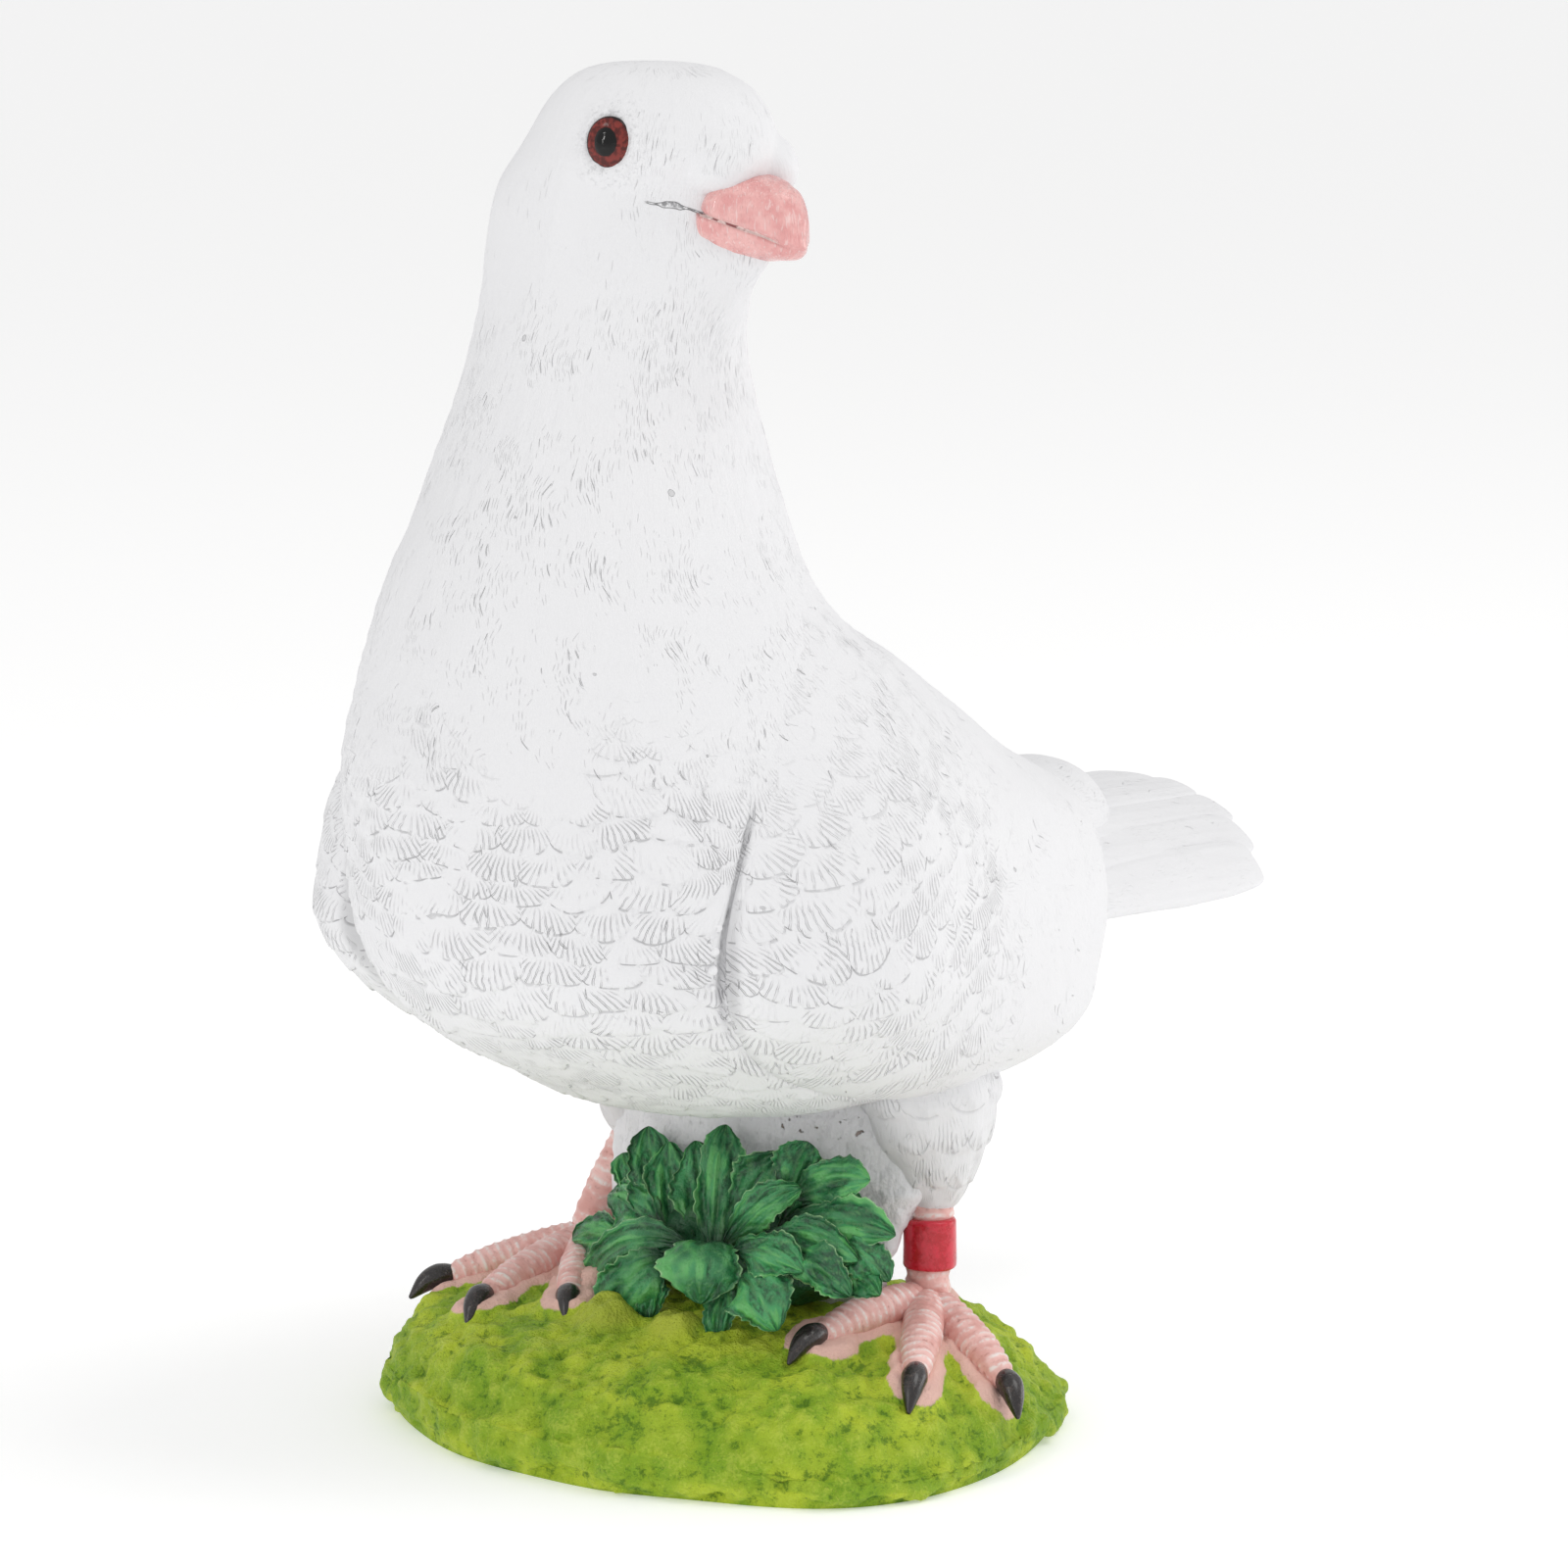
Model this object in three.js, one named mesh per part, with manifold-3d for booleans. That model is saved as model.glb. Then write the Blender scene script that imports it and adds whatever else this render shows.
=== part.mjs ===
// A garden dove statue, cast in one piece: a white dove that stands on a grassy mound, astride a
// clump of leaves. Millimetres, +Z up, origin at the middle of the mound's flat underside. The
// dove's breast faces -Y, its tail +Y, and its head is turned to its own left, towards +X.
import * as THREE from 'three';
import { mergeVertices } from 'three/addons/utils/BufferGeometryUtils.js';
import Module from 'manifold-3d';

const { PI, sin, cos, abs, min, max, pow, sqrt, sign, floor, hypot, atan2 } = Math;
const { lerp: mix, smoothstep, degToRad } = THREE.MathUtils;
const smooth = (from, to, x) => smoothstep(x, from, to);
const vector = (x, y, z) => new THREE.Vector3(x, y, z);
const UP = vector(0, 0, 1);
const TINY = 1e-6;
const ROUND = 0.5;
const STEEP = 0.8;

// The mound: an oval dome on a flat underside, wider across the dove than along it. Its rim is
// lower on the left.
const MOUND = {
  halfWidth: 65.8, halfLength: 57.5, power: 2.35, height: 24.5, rim: 9.5, rimSlope: 4.5,
  waist: 0.965, dome: 2.4, blunt: 0.85, lean: 0.022, leanTurn: 0.9,
  lumps: { count: 5, size: 0.01, turn: 2.2 }, crumbs: { count: 9, size: 0.007, turn: 0 },
  crownEnd: 0.65, rimEnd: 0.85,
};

// The dove's bare form as level outlines, from the crown down to the belly. In each, x and y are
// the centre, ahead, behind and side are the reaches from it, and yaw is how far the outline is
// turned to the dove's left. Fore and aft are the powers of its two halves: 2 is round, less draws
// the outline to a point, and more squares it.
const LEVELS = [
  { z: 250.5, x: 8, y: -33, yaw: 90, ahead: 0, behind: 0, side: 0, fore: 2, aft: 2 },
  { z: 249.5, x: 8, y: -33, yaw: 90, ahead: 13, behind: 11, side: 8, fore: 2, aft: 2 },
  { z: 245, x: 6, y: -33, yaw: 90, ahead: 23.5, behind: 15.5, side: 13.5, fore: 2, aft: 2 },
  { z: 237, x: 5, y: -33, yaw: 90, ahead: 28, behind: 20, side: 17, fore: 2, aft: 2 },
  { z: 229, x: 3, y: -33, yaw: 90, ahead: 29, behind: 24, side: 18.5, fore: 1.3, aft: 2 },
  { z: 219, x: 2, y: -33, yaw: 88, ahead: 32.5, behind: 25.5, side: 20, fore: 1.25, aft: 2 },
  { z: 210, x: 1, y: -33, yaw: 84, ahead: 27, behind: 25, side: 22, fore: 1.6, aft: 2 },
  { z: 196, x: -0.5, y: -34, yaw: 60, ahead: 24.5, behind: 26.5, side: 25, fore: 2, aft: 2 },
  { z: 180, x: -1, y: -35, yaw: 30, ahead: 31.5, behind: 29.5, side: 29.7, fore: 2, aft: 2 },
  { z: 165, x: -0.7, y: -35, yaw: 0, ahead: 39, behind: 32, side: 35.2, fore: 2, aft: 2 },
  { z: 153, x: 0, y: -33, yaw: 0, ahead: 46, behind: 38, side: 40, fore: 2, aft: 2 },
  { z: 143, x: 0, y: -29, yaw: 0, ahead: 53, behind: 54, side: 44, fore: 2, aft: 2 },
  { z: 132, x: 0, y: -25, yaw: 0, ahead: 60, behind: 68, side: 47, fore: 2, aft: 2 },
  { z: 121, x: 0, y: -20, yaw: 0, ahead: 65, behind: 80, side: 49, fore: 2, aft: 1.9 },
  { z: 110, x: 0, y: -16, yaw: 0, ahead: 68, behind: 98, side: 50, fore: 2, aft: 1.9 },
  { z: 98, x: 0, y: -12, yaw: 0, ahead: 69, behind: 100, side: 50.5, fore: 2, aft: 2 },
  { z: 86, x: 0, y: -6, yaw: 0, ahead: 65, behind: 96, side: 49, fore: 2, aft: 2 },
  { z: 74, x: 0, y: 2, yaw: 0, ahead: 52.5, behind: 82, side: 44.5, fore: 2, aft: 2.2 },
  { z: 63, x: 0, y: 12, yaw: 0, ahead: 36.5, behind: 50, side: 31, fore: 2, aft: 2 },
  { z: 57, x: 0, y: 18, yaw: 0, ahead: 0, behind: 0, side: 0, fore: 2, aft: 2 },
];

// The head's median line, and what it carries. The head faces +X.
const HEAD_Y = -33;
const EYE = { x: 11, z: 237.4, across: 16.2, radius: 4.2, sunk: 2.7 };
const BILL = {
  upper: { points: [[18, 227], [27, 226.5], [34, 224.5], [40.4, 218]], radii: [7, 7.2, 6, 1.4] },
  lower: { points: [[14, 222], [25, 221], [37, 218.6]], radii: [6, 6.2, 2.4] },
  width: 0.92,
};
const CERE = { x: 29, y: -32.7, z: 231.6, across: 3.6, radius: 5.9 };

// A folded wing is a shell over the flank, in terms of length along the dove and of the angle up
// from the level, in degrees, seen along a line through the dove at the height called line. It is
// thickest at the wrist and thinnest above the angles called fade, where it blends into the back.
// The shares are of the way from its front to its back.
const WING = {
  line: 104, front: -57, back: 98, middle: 0.42, sunk: 5,
  bottom: -46, bottomRear: -44, rearPower: 2.5, top: 58, topRear: 66, rearShare: 0.25,
  thick: 5.5, rear: 11, upper: 1.5, fade: [10, 52],
  wrist: { thick: 17, shares: [0.05, 0.45], rise: [-40, -6] },
  outline: { ends: 0.75, along: 0.7, across: 0.85 }, dome: 7,
};

// The rump, a soft swelling that runs from the back, between the wings, to a blunt end on the tail.
const RUMP = { line: [[0, 46, 100], [0, 82, 97.5], [0, 116, 96.5]], radii: [12, 15, 14], width: 1.65 };

// The tail: a fan of feathers that overlap like roof tiles on an arch, the middle one highest.
const TAIL = {
  feathers: 9, step: 12.5, width: 13, thick: 3.4, tilt: 0.12, shorter: 0.5,
  root: { y: 66, z: 68, radius: 31 }, tip: { y: 149, z: 59.5, radius: 39.5 },
  narrow: 0.8, broad: 1.05, blunt: 0.4,
};

// The legs. A foot has three toes ahead and one behind, each a knuckled tube that ends in a claw.
const THIGH = { y: 17, top: 84, middle: 62, width: 13.5, narrow: 7.5, inwards: 5 };
const BAND = { y: 15.6, z: 33, height: 9.4, radius: 4.7 };
const FEET = [
  {
    hip: 34, knee: [35, 17, 46], ankle: [35, 15, 28],
    toes: [
      { knuckle: [31, -14, 24], claw: [31, -24, 20.5] },
      { knuckle: [50, -11, 19.5], claw: [53.5, -19, 14] },
      { knuckle: [58, 6, 15.5], claw: [63.5, 1.5, 9.8] },
      { knuckle: [25, 32, 21], claw: [21, 38, 17] },
    ],
  },
  {
    hip: -31, knee: [-32, 17, 50], ankle: [-38.5, 11, 30],
    toes: [
      { knuckle: [-56, -11, 21], claw: [-61, -17.5, 17] },
      { knuckle: [-38, -24, 23], claw: [-36, -31.5, 18.5] },
      { knuckle: [-21, -20, 24.5], claw: [-17, -26.5, 21.5] },
      { knuckle: [-41, 29, 22], claw: [-42, 36, 17] },
    ],
  },
];
const LEG = { radius: 3.9, ends: 5, foot: 18 };
const TOE = { heel: 4.2, radius: 3.7, knuckle: 3.1, clear: 3.4, past: 0.15 };
const CLAW = { radius: 2.5, point: 0.7, hook: 1.4, root: 0.08 };

// The web of resin that stiffens the legs, and the clump of leaves in front of it.
const WEB = {
  y: 9, halfWidth: 34.5, halfDepth: 8, bottom: 8, top: 70, bow: 4,
  ends: 0.35, corners: 0.7, wave: { size: 0.08, count: 4, twist: 6 },
};
const CLUMP = {
  root: vector(4, -5, 33), front: vector(0.4, -0.85, 0.35), thick: 1.1, fold: 0.3,
  narrow: 0.7, broad: 1.1, taper: 0.8,
};
// A leaf is given by its tip, its width and how high its arch stands over the straight way there.
const LEAVES = [
  { tip: [-17, -3, 53.5], width: 9, arch: 1 },
  { tip: [-9.5, -5, 51.5], width: 8, arch: 1 },
  { tip: [1, -3, 56], width: 10, arch: 0 },
  { tip: [8, -2, 50], width: 9, arch: 1 },
  { tip: [21, -3, 55], width: 11, arch: 1 },
  { tip: [33.5, -4, 54], width: 11, arch: 2 },
  { tip: [38.5, -6, 49], width: 11, arch: 3 },
  { tip: [42, -5, 41.5], width: 11, arch: 3 },
  { tip: [42, -8, 32], width: 11, arch: 6 },
  { tip: [39, -16, 29], width: 10, arch: 6 },
  { tip: [33, -22, 37], width: 10, arch: 4 },
  { tip: [30.5, -22, 28], width: 12, arch: 7 },
  { tip: [14, -22, 25], width: 8, arch: 5 },
  { tip: [12, -24, 30.5], width: 14, arch: 6 },
  { tip: [-22, -16, 25], width: 11, arch: 9 },
  { tip: [-11.5, -22, 21.5], width: 13, arch: 8 },
  { tip: [-29, -6, 32], width: 9, arch: 4 },
  { tip: [-19.5, -8, 41], width: 10, arch: 3 },
  { tip: [2.5, -20, 24], width: 10, arch: 6 },
  { tip: [-14, -10, 34], width: 9, arch: 3 },
];

// How many facets go round each form and along it.
const FACETS = {
  body: [28, 34], wing: [22, 12], feather: [6, 7], mound: [34, 9], rump: [12, 7], eye: [8, 6],
  bill: [10, 9], thigh: [11, 7], leg: [8, 7], toe: [7, 7], claw: [6, 5], band: 14, web: [14, 8],
  leaf: [6, 5],
};

const wasm = await Module();
wasm.setup();

// A solid for joining and cutting, from a closed geometry. A geometry that faces inwards is turned round.
function solid(geometry) {
  const bare = geometry.clone();
  bare.deleteAttribute('normal');
  bare.deleteAttribute('uv');
  const merged = mergeVertices(bare, 1e-4);
  const corners = new Uint32Array(merged.index.array);
  const make = (triVerts) => new wasm.Manifold(new wasm.Mesh({
    numProp: 3, vertProperties: merged.attributes.position.array, triVerts,
  }));
  const made = make(corners);
  if (made.volume() > 0) return made;
  return make(corners.map((_, i) => corners[i - 2 * (i % 3) + 2]));
}

// A rise from 0 at t = 0 to 1 in the middle and back to 0 at t = 1: round ends with the power
// ROUND, blunter ones with less, pointed ones with more.
const bulge = (t, power) => (t <= 0 || t >= 1 ? 0 : pow(sin(PI * t), power));

// The solids as one, without the closed pockets that are left between them.
function joined(solids) {
  const skins = solids.reduce((whole, next) => whole.add(next)).decompose();
  return skins.reduce((outer, skin) => (skin.volume() > outer.volume() ? skin : outer));
}

function geometryOf(whole) {
  const { vertProperties, triVerts } = whole.getMesh();
  const geometry = new THREE.BufferGeometry();
  geometry.setAttribute('position', new THREE.BufferAttribute(vertProperties, 3));
  geometry.setIndex(new THREE.BufferAttribute(triVerts, 1));
  geometry.computeVertexNormals();
  return geometry;
}

// A ball whose skin is moved: place(t, turn) is where the point goes that was at t from pole to
// pole, 0 to 1, and at turn round the axis.
function shapedBall([around, rings], place) {
  const ball = new THREE.SphereGeometry(1, around, rings);
  const at = ball.attributes.position;
  for (let ring = 0, i = 0; ring <= rings; ring++) {
    for (let step = 0; step <= around; step++, i++) {
      const p = place(ring / rings, 2 * PI * (step % around) / around);
      at.setXYZ(i, p.x, p.y, p.z);
    }
  }
  return solid(ball);
}

// A smooth line through four values, at f from the second to the third.
function through(a, b, c, d, f) {
  return b + 0.5 * f * (c - a + f * (2 * a - 5 * b + 4 * c - d + f * (3 * (b - c) + d - a)));
}

// A power that keeps the sign: less than 1 squares a round outline.
const squared = (value, power) => sign(value) * pow(abs(value), power);

// How far an oval of the given reaches and power goes in the direction with this cosine and sine.
const ovalReach = (c, s, cReach, sReach, power) =>
  pow(pow(abs(c) / cReach, power) + pow(abs(s) / sReach, power), -1 / power);

// The value at t, 0 to 1, of a smooth line through a list.
function listAt(list, t) {
  const s = t * (list.length - 1);
  const i = min(floor(s), list.length - 2);
  const at = (k) => list[max(0, min(list.length - 1, k))];
  return through(at(i - 1), at(i), at(i + 1), at(i + 2), s - i);
}

// The level outline at t, from 0 at the crown to 1 at the belly. Past each end the levels mirror
// those before it, so that the form closes in a round cap.
function levelAt(t) {
  const last = LEVELS.length - 1;
  const s = t * last;
  const i = min(floor(s), last - 1);
  const row = (k) => {
    const level = LEVELS[k < 0 ? -k : k > last ? 2 * last - k : k];
    const flip = k < 0 || k > last ? -1 : 1;
    return {
      ...level, ahead: flip * level.ahead, behind: flip * level.behind, side: flip * level.side,
    };
  };
  const rows = [i - 1, i, i + 1, i + 2].map(row);
  const level = {};
  for (const key of Object.keys(LEVELS[0])) level[key] = through(...rows.map((r) => r[key]), s - i);
  return level;
}

// A point on a level outline, at turn from the breast round to the dove's left.
function onLevel(level, turn) {
  const local = turn - degToRad(level.yaw);
  const rear = cos(local) < 0;
  const reach = rear ? level.behind : level.ahead;
  if (reach < TINY) return vector(level.x, level.y, level.z);
  const r = ovalReach(cos(local), sin(local), reach, level.side, rear ? level.aft : level.fore);
  return vector(level.x + r * sin(turn), level.y - r * cos(turn), level.z);
}

// The bare form's levels, close together, for the questions below.
const SAMPLES = 160;
const HALVINGS = 18;
const SAMPLED = Array.from({ length: SAMPLES + 1 }, (_, k) => levelAt(k / SAMPLES));

// Whether a point is inside the dove's bare form.
function inBody(p) {
  const k = SAMPLED.findIndex((level) => level.z <= p.z);
  if (k < 1) return false;
  const upper = SAMPLED[k - 1];
  const lower = SAMPLED[k];
  const f = (upper.z - p.z) / (upper.z - lower.z);
  const level = {};
  for (const key of Object.keys(lower)) level[key] = mix(upper[key], lower[key], f);
  const edge = onLevel(level, atan2(p.x - level.x, level.y - p.y));
  return hypot(p.x - level.x, p.y - level.y) < hypot(edge.x - level.x, edge.y - level.y);
}

// How far the bare form reaches from the wings' line, at y along it and in a direction across it.
function bodyReach(y, across, up) {
  let inside = 0;
  let outside = 2 * MOUND.halfWidth;
  for (let k = 0; k < HALVINGS; k++) {
    const middle = (inside + outside) / 2;
    if (inBody(vector(across * middle, y, WING.line + up * middle))) inside = middle;
    else outside = middle;
  }
  return inside;
}

function body() {
  return shapedBall(FACETS.body, (t, turn) => onLevel(levelAt(t), turn));
}

// How proud of the body a wing stands, from its share of the way back and its angle.
function wingThickness(share, degrees) {
  const wrist = (1 - smooth(...WING.wrist.shares, share)) * smooth(...WING.wrist.rise, degrees);
  const flat = mix(WING.thick, WING.rear, smooth(WING.rearShare, 1, share));
  return mix(mix(flat, WING.wrist.thick, wrist), WING.upper, smooth(...WING.fade, degrees));
}

// A folded wing on one side: 1 is the dove's left, -1 its right. Its rim stands off the body all
// round but on the back, where it blends in.
function wing(hand) {
  const length = WING.back - WING.front;
  const middle = mix(WING.front, WING.back, WING.middle);
  return shapedBall(FACETS.wing, (t, turn) => {
    const spread = bulge(t, WING.outline.ends);
    const half = cos(turn) < 0 ? middle - WING.front : WING.back - middle;
    const y = middle + spread * half * squared(cos(turn), WING.outline.along);
    const share = (y - WING.front) / length;
    const rear = smooth(WING.rearShare, 1, share);
    const bottom = mix(WING.bottom, WING.bottomRear, pow(rear, WING.rearPower));
    const top = mix(WING.top, WING.topRear, rear);
    const swing = spread * (top - bottom) / 2 * squared(sin(turn), WING.outline.across);
    const degrees = (bottom + top) / 2 + swing;
    const dome = sqrt(1 - pow(spread, WING.dome));
    const over = t < 0.5 ? wingThickness(share, degrees) * dome : -WING.sunk * dome;
    const across = cos(degToRad(degrees));
    const up = sin(degToRad(degrees));
    const reach = bodyReach(y, across, up) + over;
    return vector(hand * across * reach, y, WING.line + up * reach);
  });
}

function rump() {
  return limb(FACETS.rump, RUMP.line.map((p) => vector(...p)), RUMP.radii, RUMP.width);
}

// One tail feather, a long blade with a round tip, at its place in the fan: 0 in the middle, whole
// steps out.
function tailFeather(place) {
  const lean = degToRad(place * TAIL.step);
  const across = vector(cos(lean), 0, -sin(lean));
  const out = vector(sin(lean), 0, cos(lean));
  const end = ({ y, z, radius }) => vector(0, y, z).addScaledVector(out, radius);
  const root = end(TAIL.root);
  const tip = end({ ...TAIL.tip, y: TAIL.tip.y - TAIL.shorter * place * place });
  return shapedBall(FACETS.feather, (t, turn) => {
    const half = TAIL.width / 2 * mix(TAIL.narrow, TAIL.broad, t) * bulge(t, TAIL.blunt);
    const over = TAIL.thick * bulge(t, ROUND) * (sin(turn) / 2 - TAIL.tilt * cos(turn));
    const on = root.clone().lerp(tip, (1 - cos(PI * t)) / 2);
    return on.addScaledVector(across, half * cos(turn)).addScaledVector(out, over);
  });
}

function tail() {
  const last = (TAIL.feathers - 1) / 2;
  return Array.from({ length: TAIL.feathers }, (_, i) => tailFeather(i - last));
}

// A round limb along a smooth line through points, with radii given along it. Its width is the
// given share of its height.
function limb(facets, points, radii, width = 1) {
  const line = new THREE.CatmullRomCurve3(points);
  return shapedBall(facets, (t, turn) => {
    const place = (1 - cos(PI * t)) / 2;
    const ahead = line.getTangentAt(place);
    const side = ahead.clone().cross(abs(ahead.z) > STEEP ? vector(0, 1, 0) : UP).normalize();
    const over = side.clone().cross(ahead);
    const radius = listAt(radii, place) * bulge(t, ROUND);
    return line.getPointAt(place)
      .addScaledVector(side, radius * width * cos(turn))
      .addScaledVector(over, radius * sin(turn));
  });
}

function head() {
  const parts = [];
  for (const hand of [-1, 1]) {
    const eye = new THREE.SphereGeometry(EYE.radius, ...FACETS.eye);
    parts.push(solid(eye.translate(EYE.x, HEAD_Y + hand * (EYE.across - EYE.sunk), EYE.z)));
    const lobe = new THREE.SphereGeometry(CERE.radius, ...FACETS.eye);
    parts.push(solid(lobe.translate(CERE.x, CERE.y + hand * CERE.across, CERE.z)));
  }
  for (const { points, radii } of [BILL.upper, BILL.lower]) {
    const line = points.map(([x, z]) => vector(x, HEAD_Y, z));
    parts.push(limb(FACETS.bill, line, radii, BILL.width));
  }
  return parts;
}

// How far the mound reaches from its middle, without its lumps.
function moundReach(x, y) {
  const far = max(hypot(x, y), TINY);
  return ovalReach(x / far, y / far, MOUND.halfWidth, MOUND.halfLength, MOUND.power);
}

// How high the mound is at a place.
function moundHeight(x, y) {
  const far = max(hypot(x, y), TINY);
  const part = min(1, far / moundReach(x, y));
  const rim = MOUND.rim - MOUND.rimSlope * part * x / far;
  return rim + (MOUND.height - rim) * pow(1 - pow(part, MOUND.dome), MOUND.blunt);
}

// The mound runs out from its top to its rim, down to the ground and back under itself.
function mound() {
  const lump = ({ count, size, turn }, round) => size * sin(count * round + turn);
  return shapedBall(FACETS.mound, (t, turn) => {
    const swell = MOUND.lean * cos(turn + MOUND.leanTurn)
      + lump(MOUND.lumps, turn) + lump(MOUND.crumbs, turn);
    const outline = moundReach(sin(turn), cos(turn)) * (1 + swell);
    const down = smooth(MOUND.crownEnd, MOUND.rimEnd, t);
    const crown = MOUND.waist * sin(PI / 2 * min(1, t / MOUND.crownEnd));
    const part = t < MOUND.rimEnd ? mix(crown, 1, down) : (1 - t) / (1 - MOUND.rimEnd);
    const x = outline * part * sin(turn);
    const y = -outline * part * cos(turn);
    return vector(x, y, moundHeight(x, y) * (1 - down));
  });
}

// A toe and its claw, from inside the ankle over an arch that clears the mound.
function toe(ankle, { knuckle, claw }) {
  const start = vector(...ankle).addScaledVector(UP, -TOE.knuckle);
  const end = vector(...knuckle);
  const point = vector(...claw);
  const arch = start.clone().lerp(end, 0.5);
  arch.z = max(moundHeight(arch.x, arch.y) + TOE.clear, arch.z);
  const past = end.clone().lerp(point, TOE.past);
  const root = end.clone().lerp(arch, CLAW.root);
  const bend = end.clone().lerp(point, 0.5).addScaledVector(UP, CLAW.hook);
  return [
    limb(FACETS.toe, [start, arch, past], [TOE.heel, TOE.radius, TOE.knuckle]),
    limb(FACETS.claw, [root, bend, point], [CLAW.radius, CLAW.radius, CLAW.point]),
  ];
}

function legs() {
  const parts = [];
  for (const { hip, knee, ankle, toes } of FEET) {
    const [x, y, z] = knee;
    const inside = vector(hip - sign(hip) * THIGH.inwards, THIGH.y, THIGH.top);
    const thigh = [inside, vector(hip, THIGH.y, THIGH.middle), vector(x, y, z - LEG.ends)];
    parts.push(limb(FACETS.thigh, thigh, [THIGH.width, THIGH.width, THIGH.narrow]));
    const foot = vector(ankle[0], ankle[1], LEG.foot);
    const leg = [vector(x, y, z + 2 * LEG.ends), vector(...knee), vector(...ankle), foot];
    parts.push(limb(FACETS.leg, leg, [LEG.ends, LEG.radius, LEG.radius, LEG.ends]));
    for (const each of toes) parts.push(...toe(ankle, each));
  }
  const band = new THREE.CylinderGeometry(BAND.radius, BAND.radius, BAND.height, FACETS.band);
  parts.push(solid(band.rotateX(PI / 2).translate(FEET[0].knee[0], BAND.y, BAND.z)));
  return parts;
}

// The web between the legs: a slab with round corners, bowed back towards the legs, from inside
// the mound to inside the belly.
function web() {
  const { size, count, twist } = WEB.wave;
  return shapedBall(FACETS.web, (t, turn) => {
    const swell = bulge(t, WEB.ends) * (1 + size * sin(count * turn + twist * t));
    const along = swell * squared(cos(turn), WEB.corners);
    const y = WEB.y + WEB.halfDepth * swell * squared(sin(turn), WEB.corners);
    return vector(WEB.halfWidth * along, y + WEB.bow * along * along, mix(WEB.top, WEB.bottom, t));
  });
}

// A leaf of the clump: a thin blade from the root to its tip, folded along its rib, its face
// turned to the front.
function leaf({ tip, width, arch }) {
  const end = vector(...tip);
  const middle = CLUMP.root.clone().lerp(end, 0.5).addScaledVector(UP, 2 * arch);
  const line = new THREE.QuadraticBezierCurve3(CLUMP.root, middle, end);
  return shapedBall(FACETS.leaf, (t, turn) => {
    const place = (1 - cos(PI * t)) / 2;
    const ahead = line.getTangent(place);
    const over = CLUMP.front.clone().projectOnPlane(ahead).normalize();
    const side = ahead.clone().cross(over);
    const half = width / 2 * bulge(t, CLUMP.taper) * mix(CLUMP.narrow, CLUMP.broad, t);
    const rise = CLUMP.thick * bulge(t, ROUND) * sin(turn) + CLUMP.fold * half * abs(cos(turn));
    return line.getPoint(place)
      .addScaledVector(side, half * cos(turn))
      .addScaledVector(over, rise);
  });
}

function dove() {
  return joined([
    body(), wing(1), wing(-1), ...head(), mound(), ...legs(), web(), rump(),
    ...LEAVES.map(leaf), ...tail(),
  ]);
}

const statue = new THREE.Group();
const paint = new THREE.MeshStandardMaterial({ color: 0xf1f1ef, roughness: 0.6, metalness: 0 });
const cast = new THREE.Mesh(geometryOf(dove()), paint);
cast.name = 'dove_statue';
statue.add(cast);

export default statue;
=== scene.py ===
# A garden dove statue, cast in resin and painted: its plumage, face, feet, leaves and mound, modelled over
# the plain solid. Sizes are in millimetres in the solid's own frame, and MM turns them into metres.
from math import cos, pi, radians, sin, tau
from types import SimpleNamespace as Sizes

import bmesh
import bpy
import numpy as np
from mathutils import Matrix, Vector


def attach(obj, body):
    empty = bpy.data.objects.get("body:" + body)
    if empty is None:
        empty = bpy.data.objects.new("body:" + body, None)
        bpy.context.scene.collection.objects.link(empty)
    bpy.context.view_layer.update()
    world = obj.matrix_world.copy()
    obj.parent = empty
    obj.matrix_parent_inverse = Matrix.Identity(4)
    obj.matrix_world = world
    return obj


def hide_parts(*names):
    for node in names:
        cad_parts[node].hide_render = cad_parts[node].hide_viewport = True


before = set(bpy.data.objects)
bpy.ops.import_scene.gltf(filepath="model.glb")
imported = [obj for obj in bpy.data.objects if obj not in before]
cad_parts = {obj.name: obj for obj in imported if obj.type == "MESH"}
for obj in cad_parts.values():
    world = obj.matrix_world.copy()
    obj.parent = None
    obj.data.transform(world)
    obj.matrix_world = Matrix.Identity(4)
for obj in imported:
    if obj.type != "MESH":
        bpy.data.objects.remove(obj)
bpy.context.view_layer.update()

MM = 0.001
TINY = 1e-6
MERGE = 1e-5
ROUND = 0.5
UP = np.array([0.0, 0.0, 1.0])
BACK = np.array([0.0, 1.0, 0.0])
NODE = "dove_statue"

# The mound: an oval dome on a flat underside. Its rim is lower on the left and turned in below.
MOUND = Sizes(
    facets=(380, 130), half_width=65.8, half_length=57.5, power=2.35, height=24.5, rim=9.5, rim_slope=4.5,
    dome=2.4, blunt=0.85, crown=0.975, crown_end=0.68, rim_start=0.66, rim_end=0.85, widest=0.98,
    turned_in=0.035, foot=0.945, softened=0.42, soft=(0.84, 0.975), pink=(7.0, 4.4), pink_rim=(0.965, 0.93),
    pink_lift=2.6,
)
# The waves of its rim: how far out as a share, how many round and their turn. Its flat stretches: how far in
# as a share, the cosine at which they begin, and their turn. Its knobs: x, y, size and height.
RIM_WAVES = ((0.022, 1, 0.9 + pi / 2), (0.01, 5, 2.2), (0.007, 9, 0))
RIM_FLATS = ((0.035, 0.2, -pi / 2), (0.09, 0.35, 0.05), (0.01, 0.3, 2.2))
KNOBS = ((-9, -25, 5.5, 4.5), (6, -24, 4.5, 3.5), (-22, -13, 4, 2))

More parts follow.
